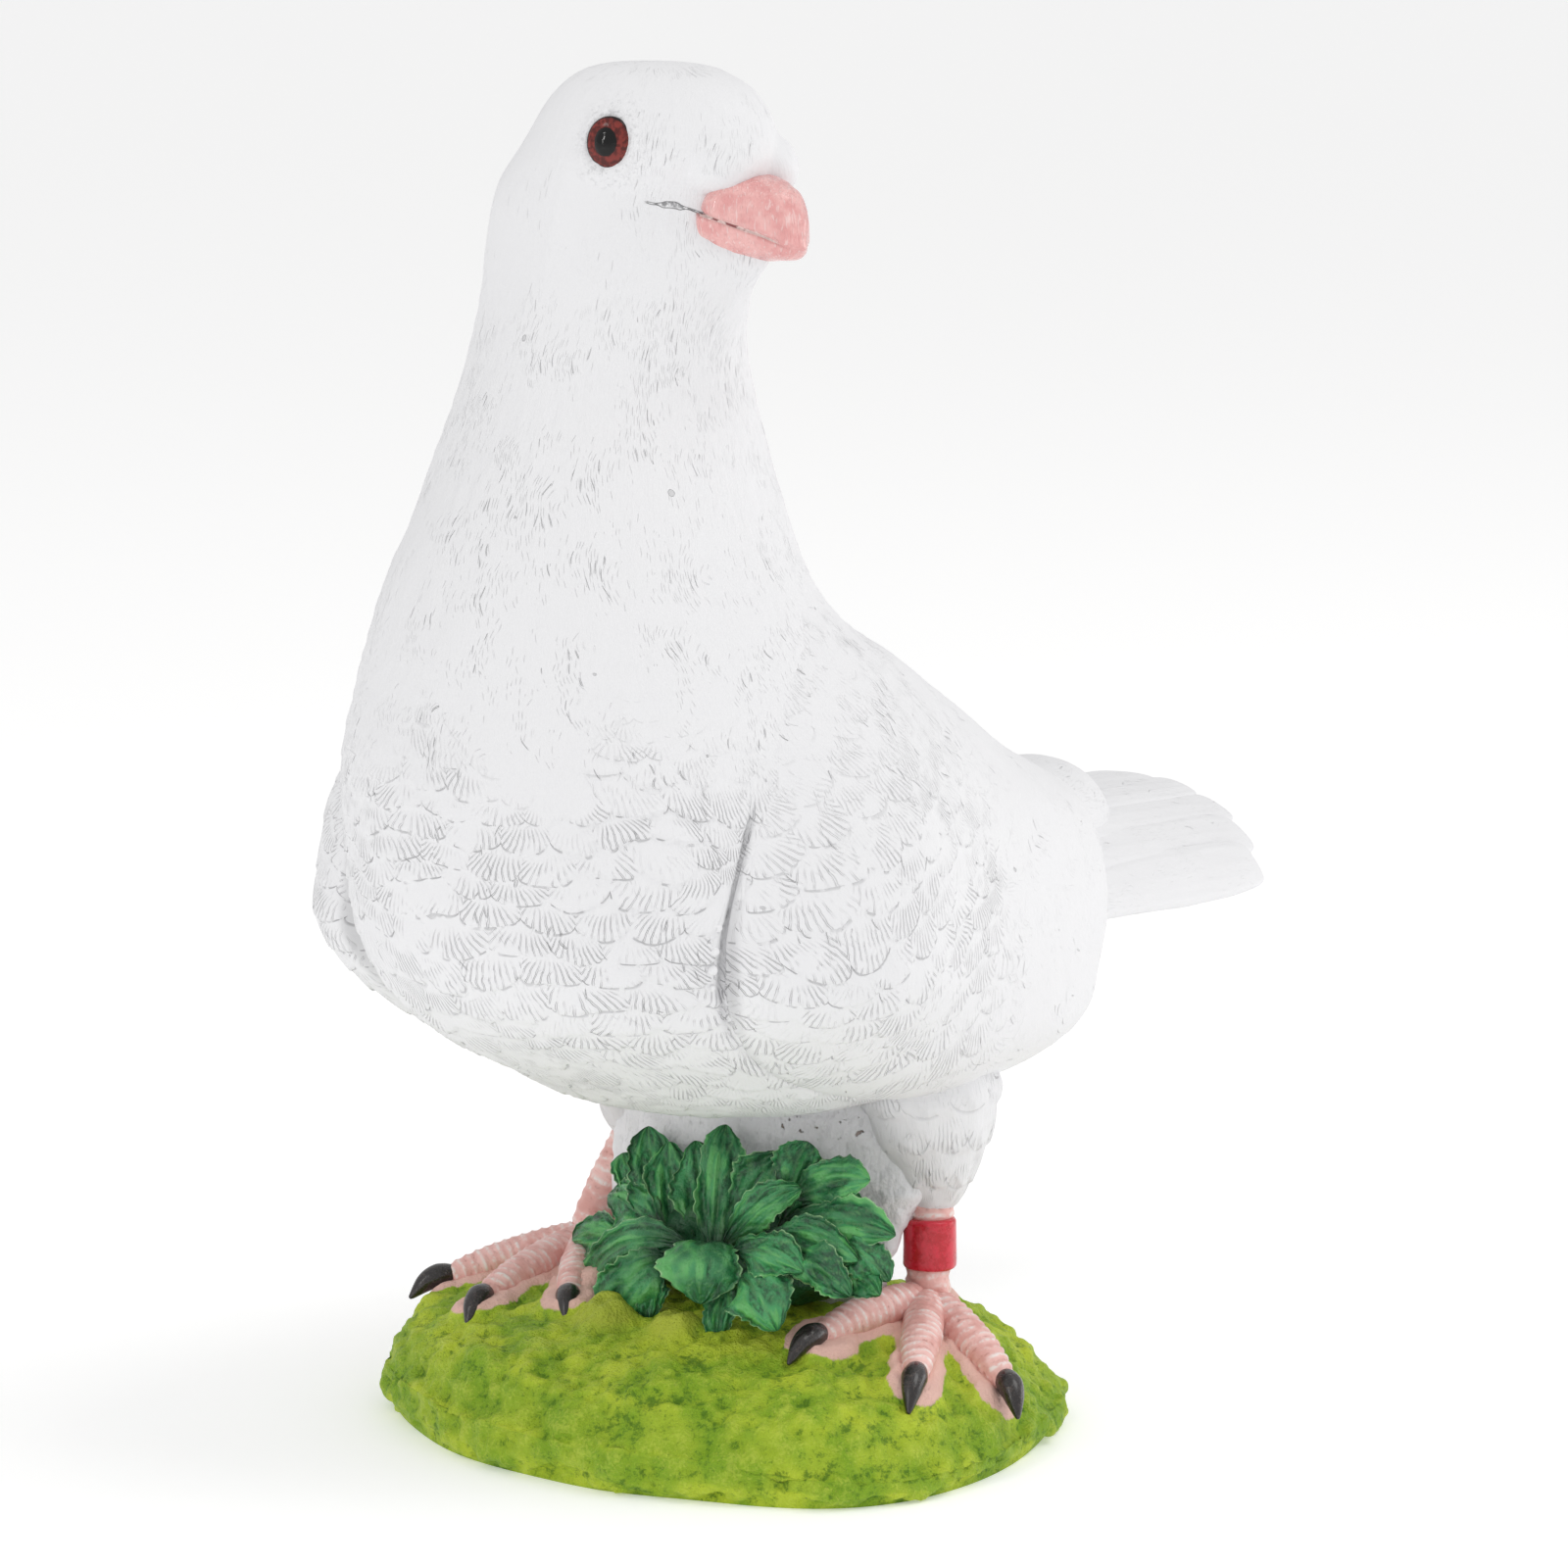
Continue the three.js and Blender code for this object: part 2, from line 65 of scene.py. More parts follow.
# The dove's bare form as level outlines, from the crown down to the belly: height, middle x and y, the turn
# to the left, the reaches ahead, behind and to the side, and the powers of the fore and aft halves.
LEVELS = np.array([
    (250.5, 8, -33, 90, 0, 0, 0, 2, 2),
    (249.5, 8, -33, 90, 13, 11, 8, 2, 2),
    (245, 6, -33, 90, 23.5, 15.5, 13.5, 2, 2),
    (237, 5, -33, 90, 28, 20, 17, 2, 2),
    (229, 3, -33, 90, 29, 24, 18.5, 1.3, 2),
    (219, 2, -33, 88, 32.5, 25.5, 20, 1.25, 2),
    (210, 1, -33, 84, 27, 25, 22, 1.6, 2),
    (196, -0.5, -34, 60, 24.5, 26.5, 25, 2, 2),
    (180, -1, -35, 30, 31.5, 29.5, 29.7, 2, 2),
    (165, -0.7, -35, 0, 39, 32, 35.2, 2, 2),
    (153, 0, -33, 0, 46, 38, 40, 2, 2),
    (143, 0, -29, 0, 53, 54, 44, 2, 2),
    (132, 0, -25, 0, 60, 68, 47, 2, 2),
    (121, 0, -20, 0, 65, 80, 49, 2, 1.9),
    (110, 0, -16, 0, 68, 98, 50, 2, 1.9),
    (98, 0, -12, 0, 69, 100, 50.5, 2, 2),
    (86, 0, -6, 0, 65, 96, 49, 2, 2),
    (74, 0, 2, 0, 52.5, 82, 44.5, 2, 2.2),
    (63, 0, 12, 0, 36.5, 50, 31, 2, 2),
    (57, 0, 18, 0, 0, 0, 0, 2, 2),
])
Z, X, Y, YAW, AHEAD, BEHIND, SIDE, FORE, AFT = range(9)
MIRRORED = np.array([1, 1, 1, 1, -1, -1, -1, 1, 1])

# The body's feathers: how many go round, their length, how far they stand out where they are full and where
# they are tufts, and the heights at which they fade. flow is the way round a radian in the strokes' map.
BODY = Sizes(
    facets=(372, 262), columns=42, pitch=5.8, flow=50, step=0.5, tuft=0.2, feathered=(143, 116),
    belly=(56, 68), bare=(196, 216),
)
# One feather: its rounded tip, its rise, its crown across, its fan of barbs and the shadow under its edge.
FEATHER = Sizes(lobe=0.45, power=1.6, crown=0.3, spread=0.7, root=0.45, barbs=62, shadow=1.08)

HEAD_Y = -33
# The eyes: where they are, their half width and height, and the pupil's as shares of these.
EYE = Sizes(
    facets=(64, 44), x=11.5, z=237.4, across=16.2, sunk=0.35, width=4.05, height=4.45, dome=1.3,
    pupil_width=0.48, pupil_height=0.54, pupil_back=0.07, pupil_dome=0.5, forward=17, upward=5,
)
# The near and the far lobe over the bill: the centre, the radius and how softly it joins the face.
CERE = (((26.3, -37.4, 234.0), 5.6, 2.0), ((28.6, -27.2, 232.8), 5.8, 1.1))
# The mouth's line on the face: it bends down from the back to the bill, and is thick in its middle.
MOUTH = Sizes(back=13, z=227.5, bend=0.0135, thin=0.14, thick=0.34)
# The bill at each x: its top, its underside, the line where its halves meet, and its half width.
BILL_X = [22, 24, 26, 29, 32, 35, 37.5, 39.5, 41.2]
BILL_TOP = [231.6, 231.7, 231.8, 231.8, 231.5, 230.7, 229.4, 227, 222.5]
BILL_LOW = [216.2, 216.4, 216.7, 217.0, 217.2, 217.3, 217.4, 217.6, 218.6]
BILL_GAPE = [226.9, 226.1, 225.4, 224.3, 223.2, 222.1, 221.0, 219.9, 219.0]
BILL_WIDE = [10.2, 10.0, 9.6, 8.6, 7.3, 5.8, 4.6, 3.4, 2.0]
BILL = Sizes(
    facets=(130, 96), base=22.6, tip=40.7, slant=1.6, upper_start=0.33, lower_start=0.2, upper_boxy=0.80,
    lower_boxy=0.92, parted=(40.5, 36.0), groove=0.24,
)

# Each wing lies on the body round a line at one height. Its outline goes from front to back, and from bottom
# to top in degrees over and under that line. Its thickness over the body goes from the wrist to the rear.
WING = Sizes(
    facets=(410, 128), outer=0.86, line=104, front=-55.5, far_front=-59, back=98, middle=0.42, sunk=5,
    bottom=-46, bottom_rear=-53, rear_power=2.5, middle_turn=2, top=76, top_rear=80, lean=5, rear_share=0.25,
    thick=5.5, rear=11.2, upper=1.6, fade=(12, 56),
    wrist=17, wrist_shares=(0.05, 0.45), wrist_rise=(-40, -6),
    along=0.7, across=0.85, dome=7, flush_dome=2.3, flush=0.68, soft_dome=3, soft_round=1.2, round=2.58,
)
# The wing's feathers fan out from a point ahead of it and above it.
FAN = Sizes(ahead=95, above=70, girth=52, pitch=5.8, columns=20, flow=190)
# The gap before each wing, by how far out it is in the wing's outline.
GROOVE = Sizes(middle=1.006, width=0.010, depth=1.4)
# The beads in the gap before the left wing: y, degrees over the wings' line, and radius.
BEADS = ((-57.0, 3, 0.75), (-57.2, -3, 0.8), (-57.0, -8, 0.9), (-56.2, -13, 0.6))

RUMP = Sizes(
    facets=(140, 90), line=[(0, 46, 99), (0, 84, 95.9), (0, 115, 98.8)], radii=[12, 14, 16.6], width=1.3,
    girth=20, step=0.3,
)
# The tail: shorter, lift and drop are for the middle feather, the two beside it and so on to the outer ones.
TAIL = Sizes(
    facets=(42, 76), feathers=9, step=12.5, width=13, thick=3.4, tilt=0.12, shorter=(3, 0, -1.5, 2, 7.5),
    lift=(2, 1.2, 0.2, 0.5, 1.8), drop=(0, 0.4, 1.6, 3.4, 5.4), root=(66, 74, 31), tip=(149, 59.5, 39.5),
    narrow=0.8, broad=1.06, blunt=0.3,
)

THIGH = Sizes(
    facets=(120, 80), y=17, top=84, middle=62, width=13, narrow=6.8, inwards=5, girth=11, step=0.55,
)
# The feet, the left one first. Each toe is the place of its knuckle and the point of its claw.
FEET = [
    {
        "hip": 34, "knee": (35, 17, 46), "ankle": (35, 15, 28),
        "toes": [
            ((31, -14, 24), (31, -24, 20.5)),
            ((50, -11, 19.5), (53.5, -19, 14)),
            ((58, 6, 15.5), (63.5, 1.5, 9.8)),
            ((25, 32, 21), (21, 38, 17)),
        ],
    },
    {
        "hip": -31, "knee": (-32, 17, 50), "ankle": (-38.5, 11, 30),
        "toes": [
            ((-56, -11, 21), (-61, -17.5, 17)),
            ((-38, -24, 23), (-36, -31.5, 18.5)),
            ((-21, -20, 24.5), (-17, -26.5, 21.5)),
            ((-41, 29, 22), (-42, 36, 17)),
        ],
    },
]
# The legs, toes and claws. pitch is the distance between the ridges across them.
LEG = Sizes(facets=(60, 110), radius=3.9, ends=5, foot=18, pitch=2.2)
TOE = Sizes(facets=(46, 92), heel=4.2, radius=3.7, slim=0.95, knuckle=3.1, clear=3.4, past=0.15, pitch=1.9)
CLAW = Sizes(facets=(36, 40), radius=2.5, slim=0.7, point=0.7, hook=1.4, root=0.08)
BAND = Sizes(y=15.6, z=35.3, height=9.4, radius=4.9, soft=0.7, segments=72, steps=12)

WEB = Sizes(
    facets=(150, 90), y=9, half_width=34.5, half_depth=8, bottom=8, top=70, bow=4, ends=0.35, corners=0.7,
)
CLUMP = Sizes(facets=(90, 60), front=np.array([0.4, -0.85, 0.35]), middle=(5, -2, 33.5), reach=(23, 8, 10))
LEAF = Sizes(
    facets=(52, 48), tip=1.2, round=0.66, teeth=0.14, ripple=1.1, fold=0.35, thick=1.3, rib=0.05, veins=17,
)
# Each leaf: where it starts, its tip, its width and how high its arch stands over the straight way there.
LEAVES = [
    ((-10, -8, 34), (-16, -2, 53.5), 10, 1), ((-4.5, -9, 33), (-10.5, -3, 51.5), 9.5, 1.5),
    ((2, -9, 34), (-4.5, -3, 52.5), 10, 1), ((5.5, -11, 33), (2.5, -3, 56.5), 9.5, 2),
    ((7, -8, 35), (15.5, -3, 53), 12, 1.5), ((19, -7, 45), (21.5, -4, 56), 9, 2),
    ((18, -6, 44), (36.5, -6, 51.5), 9.5, 2.5), ((9, -14, 35.5), (25, -11, 49.5), 7.5, 3),
    ((17, -8, 38), (34, -5, 47.5), 10, 2), ((19, -10, 40), (42, -6, 42), 10, 3),
    ((18, -14, 39.5), (38, -12, 38), 8, 3), ((31, -9, 39), (42, -8, 34), 8.5, 3),
    ((14.5, -18, 37), (31, -19, 36.5), 8.5, 3), ((24, -15, 37.5), (39, -16, 32.5), 8.5, 3),
    ((33, -11, 36), (42, -11, 32), 6.5, 1), ((17, -19, 33.5), (28, -23, 26), 12, 3),
    ((13, -17, 31), (14, -22, 21.5), 7, 2.5), ((8, -16, 37.5), (12.5, -25, 29), 15.5, 4),
    ((3, -14, 35.5), (-28.5, -8, 20), 9, 8), ((-1, -16, 33.5), (-13, -20, 18.5), 12, 4),
    ((-14, -9, 32.5), (-31.5, -5, 30), 8, 2.5), ((-6, -11, 36), (-23, -5, 40), 10, 2),
    ((-14, -6, 38), (-22, -2, 47.5), 8, 1), ((-19, -8, 27), (-31, -6, 25), 5, 1.5),
    ((-3.5, -16, 30), (-2.5, -20, 22.5), 6, 2),
]

# Strokes of the carving tool, many fine ones and a few deep ones: the cell they lie in, the half width as a
# share of it, how many cells hold one, and how far they slant.
FINE = Sizes(across=0.75, along=2.6, width=0.12, share=0.75, slant=1.2, seed=3)
DEEP = Sizes(across=1.5, along=2.9, width=0.09, share=0.18, slant=1.2, seed=11)
WHITE = (0.815, 0.815, 0.832)
# SHADE is the colour of the painted shade in the hollows of the carving.
SHADE = (0.36, 0.36, 0.37)

CAMERA = Sizes(place=(546.38, -761.25, 275.99), towards=(8.96, 6.27, 119.2), lens=119.7, sensor=36, far=100)
# Each light: its place, its width and height in metres, and its power in watts. All are aimed at one spot.
LIGHTS = {
    "key": ((900, 250, 1600), (0.9, 0.9), 7.5),
    "fill": ((900, 1000, 220), (0.9, 0.35), 2.0),
    "strip": ((-300, -1500, 700), (0.07, 1.1), 3.8),
}
LIT_SPOT = (0, 0, 110)
LIGHT_COLOUR = (1, 0.99, 0.965)
ROOM_LIGHT = 0.7
FLOOR = Sizes(half=60, white=0.9, rough=0.8, glow=0.26)


# Curves and noise.
def smooth(low, high, x):
    """0 at low, 1 at high and smooth between. With the ends the other way round, it falls."""
    part = np.clip((x - low) / (high - low), 0, 1)
    return part * part * (3 - 2 * part)


def mix(a, b, part):
    return a + (b - a) * part


def squared(value, power):
    """A power that keeps the sign, which makes an oval boxy or pointed."""
    return np.sign(value) * np.abs(value) ** power


def bulge(t, power):
    """A rise from 0 at t = 0 to 1 in the middle and back to 0 at t = 1."""
    return np.clip(np.sin(pi * t), 0, 1) ** power


def travelled(t):
    """The share of a long form's length at t, with the rings close together at both ends."""
    return (1 - np.cos(pi * t)) / 2


def unit(vectors):
    return vectors / np.maximum(np.linalg.norm(vectors, axis=-1, keepdims=True), TINY)


def oval_reach(c, s, c_reach, s_reach, power):
    """How far an oval goes in the direction with this cosine and sine."""
    return ((np.abs(c) / c_reach) ** power + (np.abs(s) / s_reach) ** power) ** (-1 / power)


def through(a, b, c, d, f):
    """A smooth line through four values, at f from the second to the third."""
    return b + 0.5 * f * (c - a + f * (2 * a - 5 * b + 4 * c - d + f * (3 * (b - c) + d - a)))


def chance(seed, *cells):
    """A number from 0 to 1 that looks random, for each whole-numbered cell."""
    mixed = seed * 7919 + 1
    for cell, prime in zip(cells, (73856093, 19349663, 83492791)):
        mixed = mixed ^ (np.asarray(cell).astype(np.int64) * prime)
    mixed = (mixed ^ (mixed >> 13)) * 1274126177
    return ((mixed ^ (mixed >> 16)) & 0xFFFF) / 0xFFFF


def grain(seed, *axes):
    """Soft noise from -1 to 1 with cells of size 1 along each axis."""
    low = [np.floor(axis) for axis in axes]
    part = [smooth(0, 1, axis - floor) for axis, floor in zip(axes, low)]
    total = 0
    for corner in np.ndindex(*(2,) * len(axes)):
        weight = 1
        for f, end in zip(part, corner):
            weight = weight * (f if end else 1 - f)
        total = total + weight * chance(seed, *(floor + end for floor, end in zip(low, corner)))
    return 2 * total - 1


def lumps(seed, places, size):
    """Soft noise in space, with cells of the given size."""
    return grain(seed, *(places / size).T)


# Meshes.
def points_of(mesh, what="co"):
    flat = np.empty(3 * len(mesh.vertices), np.float32)
    mesh.vertices.foreach_get(what, flat)
    return flat.reshape(-1, 3).astype(float)


def put(mesh, places):
    mesh.vertices.foreach_set("co", (places * MM).astype(np.float32).ravel())
    mesh.update()


def mesh_of(name, form):
    """The finished mesh of a bmesh, which is then let go."""
    mesh = bpy.data.meshes.new(name)
    form.to_mesh(mesh)
    form.free()
    return mesh


def ball(name, facets):
    """A ball's mesh, and each point's way from pole to pole, 0 to 1, and its turn round the axis. It is a
    flat grid rolled up and closed along the seam and at the poles."""
    form = bmesh.new()
    bmesh.ops.create_grid(form, x_segments=facets[0], y_segments=facets[1], size=1)
    for point in form.verts:
        turn, fall = pi * (1 + point.co.x), pi / 2 * (1 - point.co.y)
        point.co = (sin(fall) * cos(turn), sin(fall) * sin(turn), cos(fall))
    bmesh.ops.remove_doubles(form, verts=form.verts, dist=MERGE)
    mesh = mesh_of(name, form)
    x, y, z = points_of(mesh).T
    return mesh, np.arctan2(np.hypot(x, y), z) / pi, np.arctan2(y, x) % tau


def ball_way(t, turn):
    """The directions out of a ball's middle."""
    return np.stack([np.sin(pi * t) * np.cos(turn), np.sin(pi * t) * np.sin(turn), np.cos(pi * t)], 1)


def shape(mesh, places):
    """Puts the mesh's points in place, and returns the directions in which they face."""
    put(mesh, places)
    form = bmesh.new()
    form.from_mesh(mesh)
    bmesh.ops.recalc_face_normals(form, faces=form.faces)
    form.to_mesh(mesh)
    form.free()
    mesh.update()
    return points_of(mesh, "normal")


def carve(mesh, places, relief):
    """Puts the mesh's points in place, and then moves them out by the relief."""
    facing = shape(mesh, places)
    put(mesh, places + facing * relief[:, None])


def mark(mesh, **marks):
    """Values at the points, which the paint reads by their names."""
    for name, values in marks.items():
        values = np.broadcast_to(values, len(mesh.vertices)).astype(np.float32)
        mesh.attributes.new(name, "FLOAT", "POINT").data.foreach_set("value", values)


def corners_of(mesh):
    """The point and the face of each face corner, and how many corners each face has."""
    points = np.empty(len(mesh.loops), np.int32)
    mesh.loops.foreach_get("vertex_index", points)
    sizes = np.empty(len(mesh.polygons), np.int32)
    mesh.polygons.foreach_get("loop_total", sizes)
    return points, np.repeat(np.arange(len(sizes)), sizes), sizes


def lay(mesh, name, u, v):
    """A UV map from values at the corners."""
    mesh.uv_layers.new(name=name).data.foreach_set("uv", np.stack([u, v], 1).astype(np.float32).ravel())


def lay_round(mesh, name, whole, per_turn, rest):
    """A UV map on a form that goes all the way round, from values at the points: u is the whole turns times
    per_turn, without a jump across the seam, and v is the rest."""
    points, faces, sizes = corners_of(mesh)
    starts = np.concatenate([[0], np.cumsum(sizes)[:-1]])
    highest = np.maximum.reduceat(whole[points], starts)[faces]
    over = whole[points] < highest - 0.5
    lay(mesh, name, (whole[points] + over) * per_turn, rest[points])


def piece(mesh, paint):
    made = bpy.data.objects.new(mesh.name, mesh)
    bpy.context.scene.collection.objects.link(made)
    mesh.materials.append(paint)
    mesh.shade_smooth()
    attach(made, "root")
    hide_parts(NODE)


# Materials.
class Wire:
    """A value in a material. Sums and products of wires add Math nodes."""

    def __init__(self, paint, socket):
        self.paint = paint
        self.socket = socket

    def worked(self, operation, *values):
        return self.paint.node("ShaderNodeMath", {"operation": operation}, dict(enumerate(values)), 0)

    def __add__(self, other):
        return self.worked("ADD", self, other)

    def __sub__(self, other):
        return self.worked("SUBTRACT", self, other)

    def __rsub__(self, other):
        return self.worked("SUBTRACT", other, self)

    def __mul__(self, other):
        return self.worked("MULTIPLY", self, other)

    def __truediv__(self, other):
        return self.worked("DIVIDE", self, other)

    __radd__ = __add__
    __rmul__ = __mul__

    def floor(self):
        return self.worked("FLOOR", self)

    def left(self, step):
        """What is left over the last whole step, like % in Python."""
        return self.worked("FLOORED_MODULO", self, step)

    def root(self):
        return self.worked("SQRT", self.worked("MAXIMUM", self, 0))

    def size(self):
        return self.worked("ABSOLUTE", self)

    def sine(self):
        return self.worked("SINE", self)

    def below(self, limit):
        return self.worked("LESS_THAN", self, limit)

    def angle(self, ahead):
        return self.worked("ARCTAN2", self, ahead)

    def rise(self, low, high):
        """0 below low, 1 above high, and smooth between. With the ends the other way round, it falls."""
        ends = {"Value": self, "From Min": min(low, high), "From Max": max(low, high)}
        risen = self.paint.node("ShaderNodeMapRange", {"interpolation_type": "SMOOTHSTEP"}, ends, "Result")
        return risen if low < high else 1 - risen


class Paint:
    """A material, and the values that its nodes give."""

    def __init__(self, name):
        self.material = bpy.data.materials.new(name)
        self.material.use_nodes = True
        self.tree = self.material.node_tree
        self.shader = self.tree.nodes["Principled BSDF"]

    def node(self, kind, settings, inputs, output):
        """Adds a node: its settings first, then what its sockets get. Returns one of its outputs."""
        made = self.tree.nodes.new(kind)
        for name, value in settings.items():
            setattr(made, name, value)
        for socket, value in inputs.items():
            self.plug(made.inputs[socket], value)
        return Wire(self, made.outputs[output])

    def plug(self, socket, value):
        if isinstance(value, Wire):
            self.tree.links.new(value.socket, socket)
        elif socket.type == "RGBA":
            socket.default_value = (*value, 1)
        else:
            socket.default_value = value

    def place(self):
        return self.node("ShaderNodeTexCoord", {}, {}, "Object")

    def uv(self, name):
        return self.node("ShaderNodeUVMap", {"uv_map": name}, {}, "UV")

    def mark(self, name):
        return self.node("ShaderNodeAttribute", {"attribute_name": name}, {}, "Fac")

    def axis(self, vector, name):
        return self.node("ShaderNodeSeparateXYZ", {}, {"Vector": vector}, name)

    def stretch(self, vector, scale):
        return self.node("ShaderNodeVectorMath", {"operation": "MULTIPLY"}, {0: vector, 1: scale}, 0)

    def noise(self, vector, size, detail=2.0, rough=0.5):
        """Noise from 0 to 1, with patches of the given size in millimetres."""
        inputs = {"Vector": vector, "Scale": 1 / (size * MM), "Detail": detail, "Roughness": rough}
        return self.node("ShaderNodeTexNoise", {}, inputs, "Fac")

    def chance(self, number):
        """A number from 0 to 1 that looks random, for each whole number."""
        return self.node("ShaderNodeTexWhiteNoise", {"noise_dimensions": "1D"}, {"W": number}, "Value")

    def dashes(self, across, along, kind, crowd):
        """Short slanting strokes along the flow, one in a cell, and more of them where crowd is nearer 1."""
        u = across * (1 / (kind.across * MM))
        column = u.floor()
        v = along * (1 / (kind.along * MM)) + self.chance(column + kind.seed)
        row = v.floor()
        cell = column * 57 + row + kind.seed
        ahead = v - row - 0.5
        beside = u - column - 0.5 - (self.chance(cell + 0.5) - 0.5) * ahead * kind.slant
        line = (kind.width - beside.size()).rise(0, kind.width * 0.8) * (0.5 - ahead.size()).rise(0, 0.4)
        return line * (crowd * kind.share - self.chance(cell)).rise(0, 0.02)

    def coats(self, colour, *others):
        """A colour with others brushed over it, each given with where it lies, from 0 to 1."""
        for other, where in others:
            colour = self.node("ShaderNodeMix", {"data_type": "RGBA"}, {0: where, 6: colour, 7: other}, 2)
        return colour

    def finish(self, colour, roughness, height=None, depth=0.3, **constants):
        """Plugs in the colour, the roughness and a relief of this depth, and sets the constants."""
        self.plug(self.shader.inputs["Base Color"], colour)
        self.plug(self.shader.inputs["Roughness"], roughness)
        if height is not None:
            bump = {"Strength": 1.0, "Distance": depth * MM, "Height": height}
            self.plug(self.shader.inputs["Normal"], self.node("ShaderNodeBump", {}, bump, "Normal"))
        for name, value in constants.items():
            self.shader.inputs[name.replace("_", " ").title().replace("Ior", "IOR")].default_value = value
        return self.material


def plumage_paint():
    """Matt white over carved feathers with edges and fans of barbs, and strokes of the tool between them,
    with painted shade in their hollows and painted shadow under each feather's edge.
    """
    paint = Paint("white_plumage")
    place = paint.place()
    feathers, flow = paint.uv("feathers"), paint.uv("flow")
    feathered, bare, groove = paint.mark("feathered"), paint.mark("bare"), paint.mark("groove")
    columns, rows = paint.axis(feathers, "X"), paint.axis(feathers, "Y")

    def laid(row):
        shifted = columns + 0.5 * row.left(2)
        across = 2 * shifted.left(1) - 1
        way = rows - row
        share = way / (1 + FEATHER.lobe * (1 - across * across).root())
        return across, way, share, shifted.floor() + 57 * row

    first = rows.floor()
    upper, lower = laid(first - 1), laid(first)
    on_top = upper[2].below(1)
    across, way, share, cell = (low + on_top * (high - low) for high, low in zip(upper, lower))
    own = paint.chance(cell)
    patches = paint.noise(place, 9.0, 1.0)
    broken = paint.noise(place, 2.2, 1.0)
    # Painted shadow under the edge of each feather.
    below = (1 - on_top) * upper[2].rise(FEATHER.shadow, 1.0) * broken.rise(0.46, 0.58) * feathered

    fan = ((across + (own - 0.5) * 0.7) * FEATHER.spread).angle(way + FEATHER.root)
    barbs = (fan * FEATHER.barbs + broken * 5).sine().rise(0.55, 1.0)
    kept = share.rise(0.3, 0.65) * own.rise(-0.1, 0.35) * (patches + broken * 0.7).rise(0.66, 0.98)
    barbs = barbs * kept * feathered * (1 - bare)
    carved = (1 - 0.35 * feathered) * (1 - 0.85 * bare)
    strokes = paint.noise(paint.stretch(flow, (1.3, 0.32, 1)), 1.0, 2.0, 0.6)
    bent = paint.axis(flow, "X") + (patches - 0.5) * (9 * MM)
    down = paint.axis(flow, "Y")
    hairs = paint.dashes(bent, down, FINE, (patches + broken * 0.4).rise(0.58, 0.90)) * carved
    cuts = paint.dashes(bent, down, DEEP, patches.rise(0.48, 0.64)) * (1 - 0.8 * bare)
    fine = paint.noise(place, 0.5, 1.0)
    specks = paint.noise(place, 2.4, 0.0).rise(0.88, 0.905)
    wrinkled = paint.mark("wrinkled")
    wrinkles = paint.noise(place, 0.9, 2.0, 0.6)

    x, y, z = (paint.axis(place, axis) * (1 / MM) for axis in "XYZ")
    along = x - MOUTH.back
    line = MOUTH.z - MOUTH.bend * along * along
    width = MOUTH.thin + MOUTH.thick * x.rise(18.2, 20.0) * x.rise(23.0, 21.6)
    mouth = (width - (z - line + (broken - 0.5) * 0.8).size()).rise(-0.12, 0.1)
    mouth = mouth * x.rise(16.4, 17.4) * x.rise(26, 25) * (y - HEAD_Y).size().rise(4, 6)

    height = strokes * carved * 0.4 - hairs * 0.2 - barbs * 0.7 - cuts * 0.9 + fine * 0.1 - specks * 0.6
    height = height - below * 0.8 + (wrinkles * wrinkled) * 0.8 - mouth * 1.2
    # Painted shade: darker in the barbs, hairs, cuts, specks, low wrinkles and the gap before each wing.
    dark = barbs * 0.15 + hairs * 0.035 + cuts * 0.14 + below * 0.42 + specks * 0.4 + groove * 0.55
    dark = dark + wrinkles.rise(0.46, 0.34) * wrinkled * 0.28
    lips = mouth * wrinkles.rise(0.36, 0.60) * 0.85
    colour = paint.coats(WHITE, (SHADE, dark), ((0.20, 0.20, 0.21), lips))
    return paint.finish(colour, 0.5 + fine * 0.15, height, 0.4, specular_ior_level=0.3)


def plain_white_paint():
    """Matt white over rough modelling, with painted shade in its hollows and a few brown stains in its pits.
    """
    paint = Paint("white_resin")
    place = paint.place()
    coarse = paint.noise(place, 4.0, 3.0, 0.6)
    fine = paint.noise(place, 0.7, 2.0)
    brushed = paint.noise(paint.stretch(place, (1, 1, 0.35)), 0.9, 2.0)
    # Painted shade: darker in the hollows of the rough modelling.
    dark = coarse.rise(0.38, 0.24) * 0.5 + brushed.rise(0.42, 0.3) * 0.2
    x, z = (paint.axis(place, axis) * (1 / MM) for axis in "XZ")
    stained = paint.noise(place, 1.6, 2.0).rise(0.66, 0.72) * z.rise(54, 56) * x.rise(8, 11) * x.rise(29, 26)
    colour = paint.coats(WHITE, (SHADE, dark), ((0.22, 0.15, 0.11), stained * 0.8))
    height = coarse + fine * 0.3 + brushed * 0.5 - stained
    return paint.finish(colour, 0.5 + fine * 0.15, height, 0.6, specular_ior_level=0.35)


def bill_paint():
    """Pale pink with paler strokes, partly paler paint and partly painted highlight for its gloss, and a
    light line with dark specks where the halves meet.
    """
    paint = Paint("pink_bill")
    place = paint.place()
    brushed = paint.noise(place, 3.2, 3.0)
    strokes = paint.noise(paint.stretch(place, (1.8, 1.8, 0.35)), 0.8, 2.0)
    relief = paint.mark("relief")
    colour = paint.coats(
        (0.77, 0.35, 0.34),
        ((0.86, 0.47, 0.45), brushed.rise(0.38, 0.62)),
        # Paler strokes: partly paler paint and partly painted highlight for the glossy streaks.
        ((0.90, 0.70, 0.68), strokes.rise(0.57, 0.67) * 0.5),
        ((0.88, 0.70, 0.66), relief.rise(-0.08, -0.25) * brushed.rise(0.25, 0.4) * 0.8),
        ((0.34, 0.08, 0.08), relief.rise(-0.15, -0.35) * brushed.rise(0.51, 0.56)),
    )
    height = brushed + strokes * 0.6
    return paint.finish(colour, 0.12 + brushed * 0.22, height, 0.7, specular_ior_level=0.5, coat_weight=0.5)


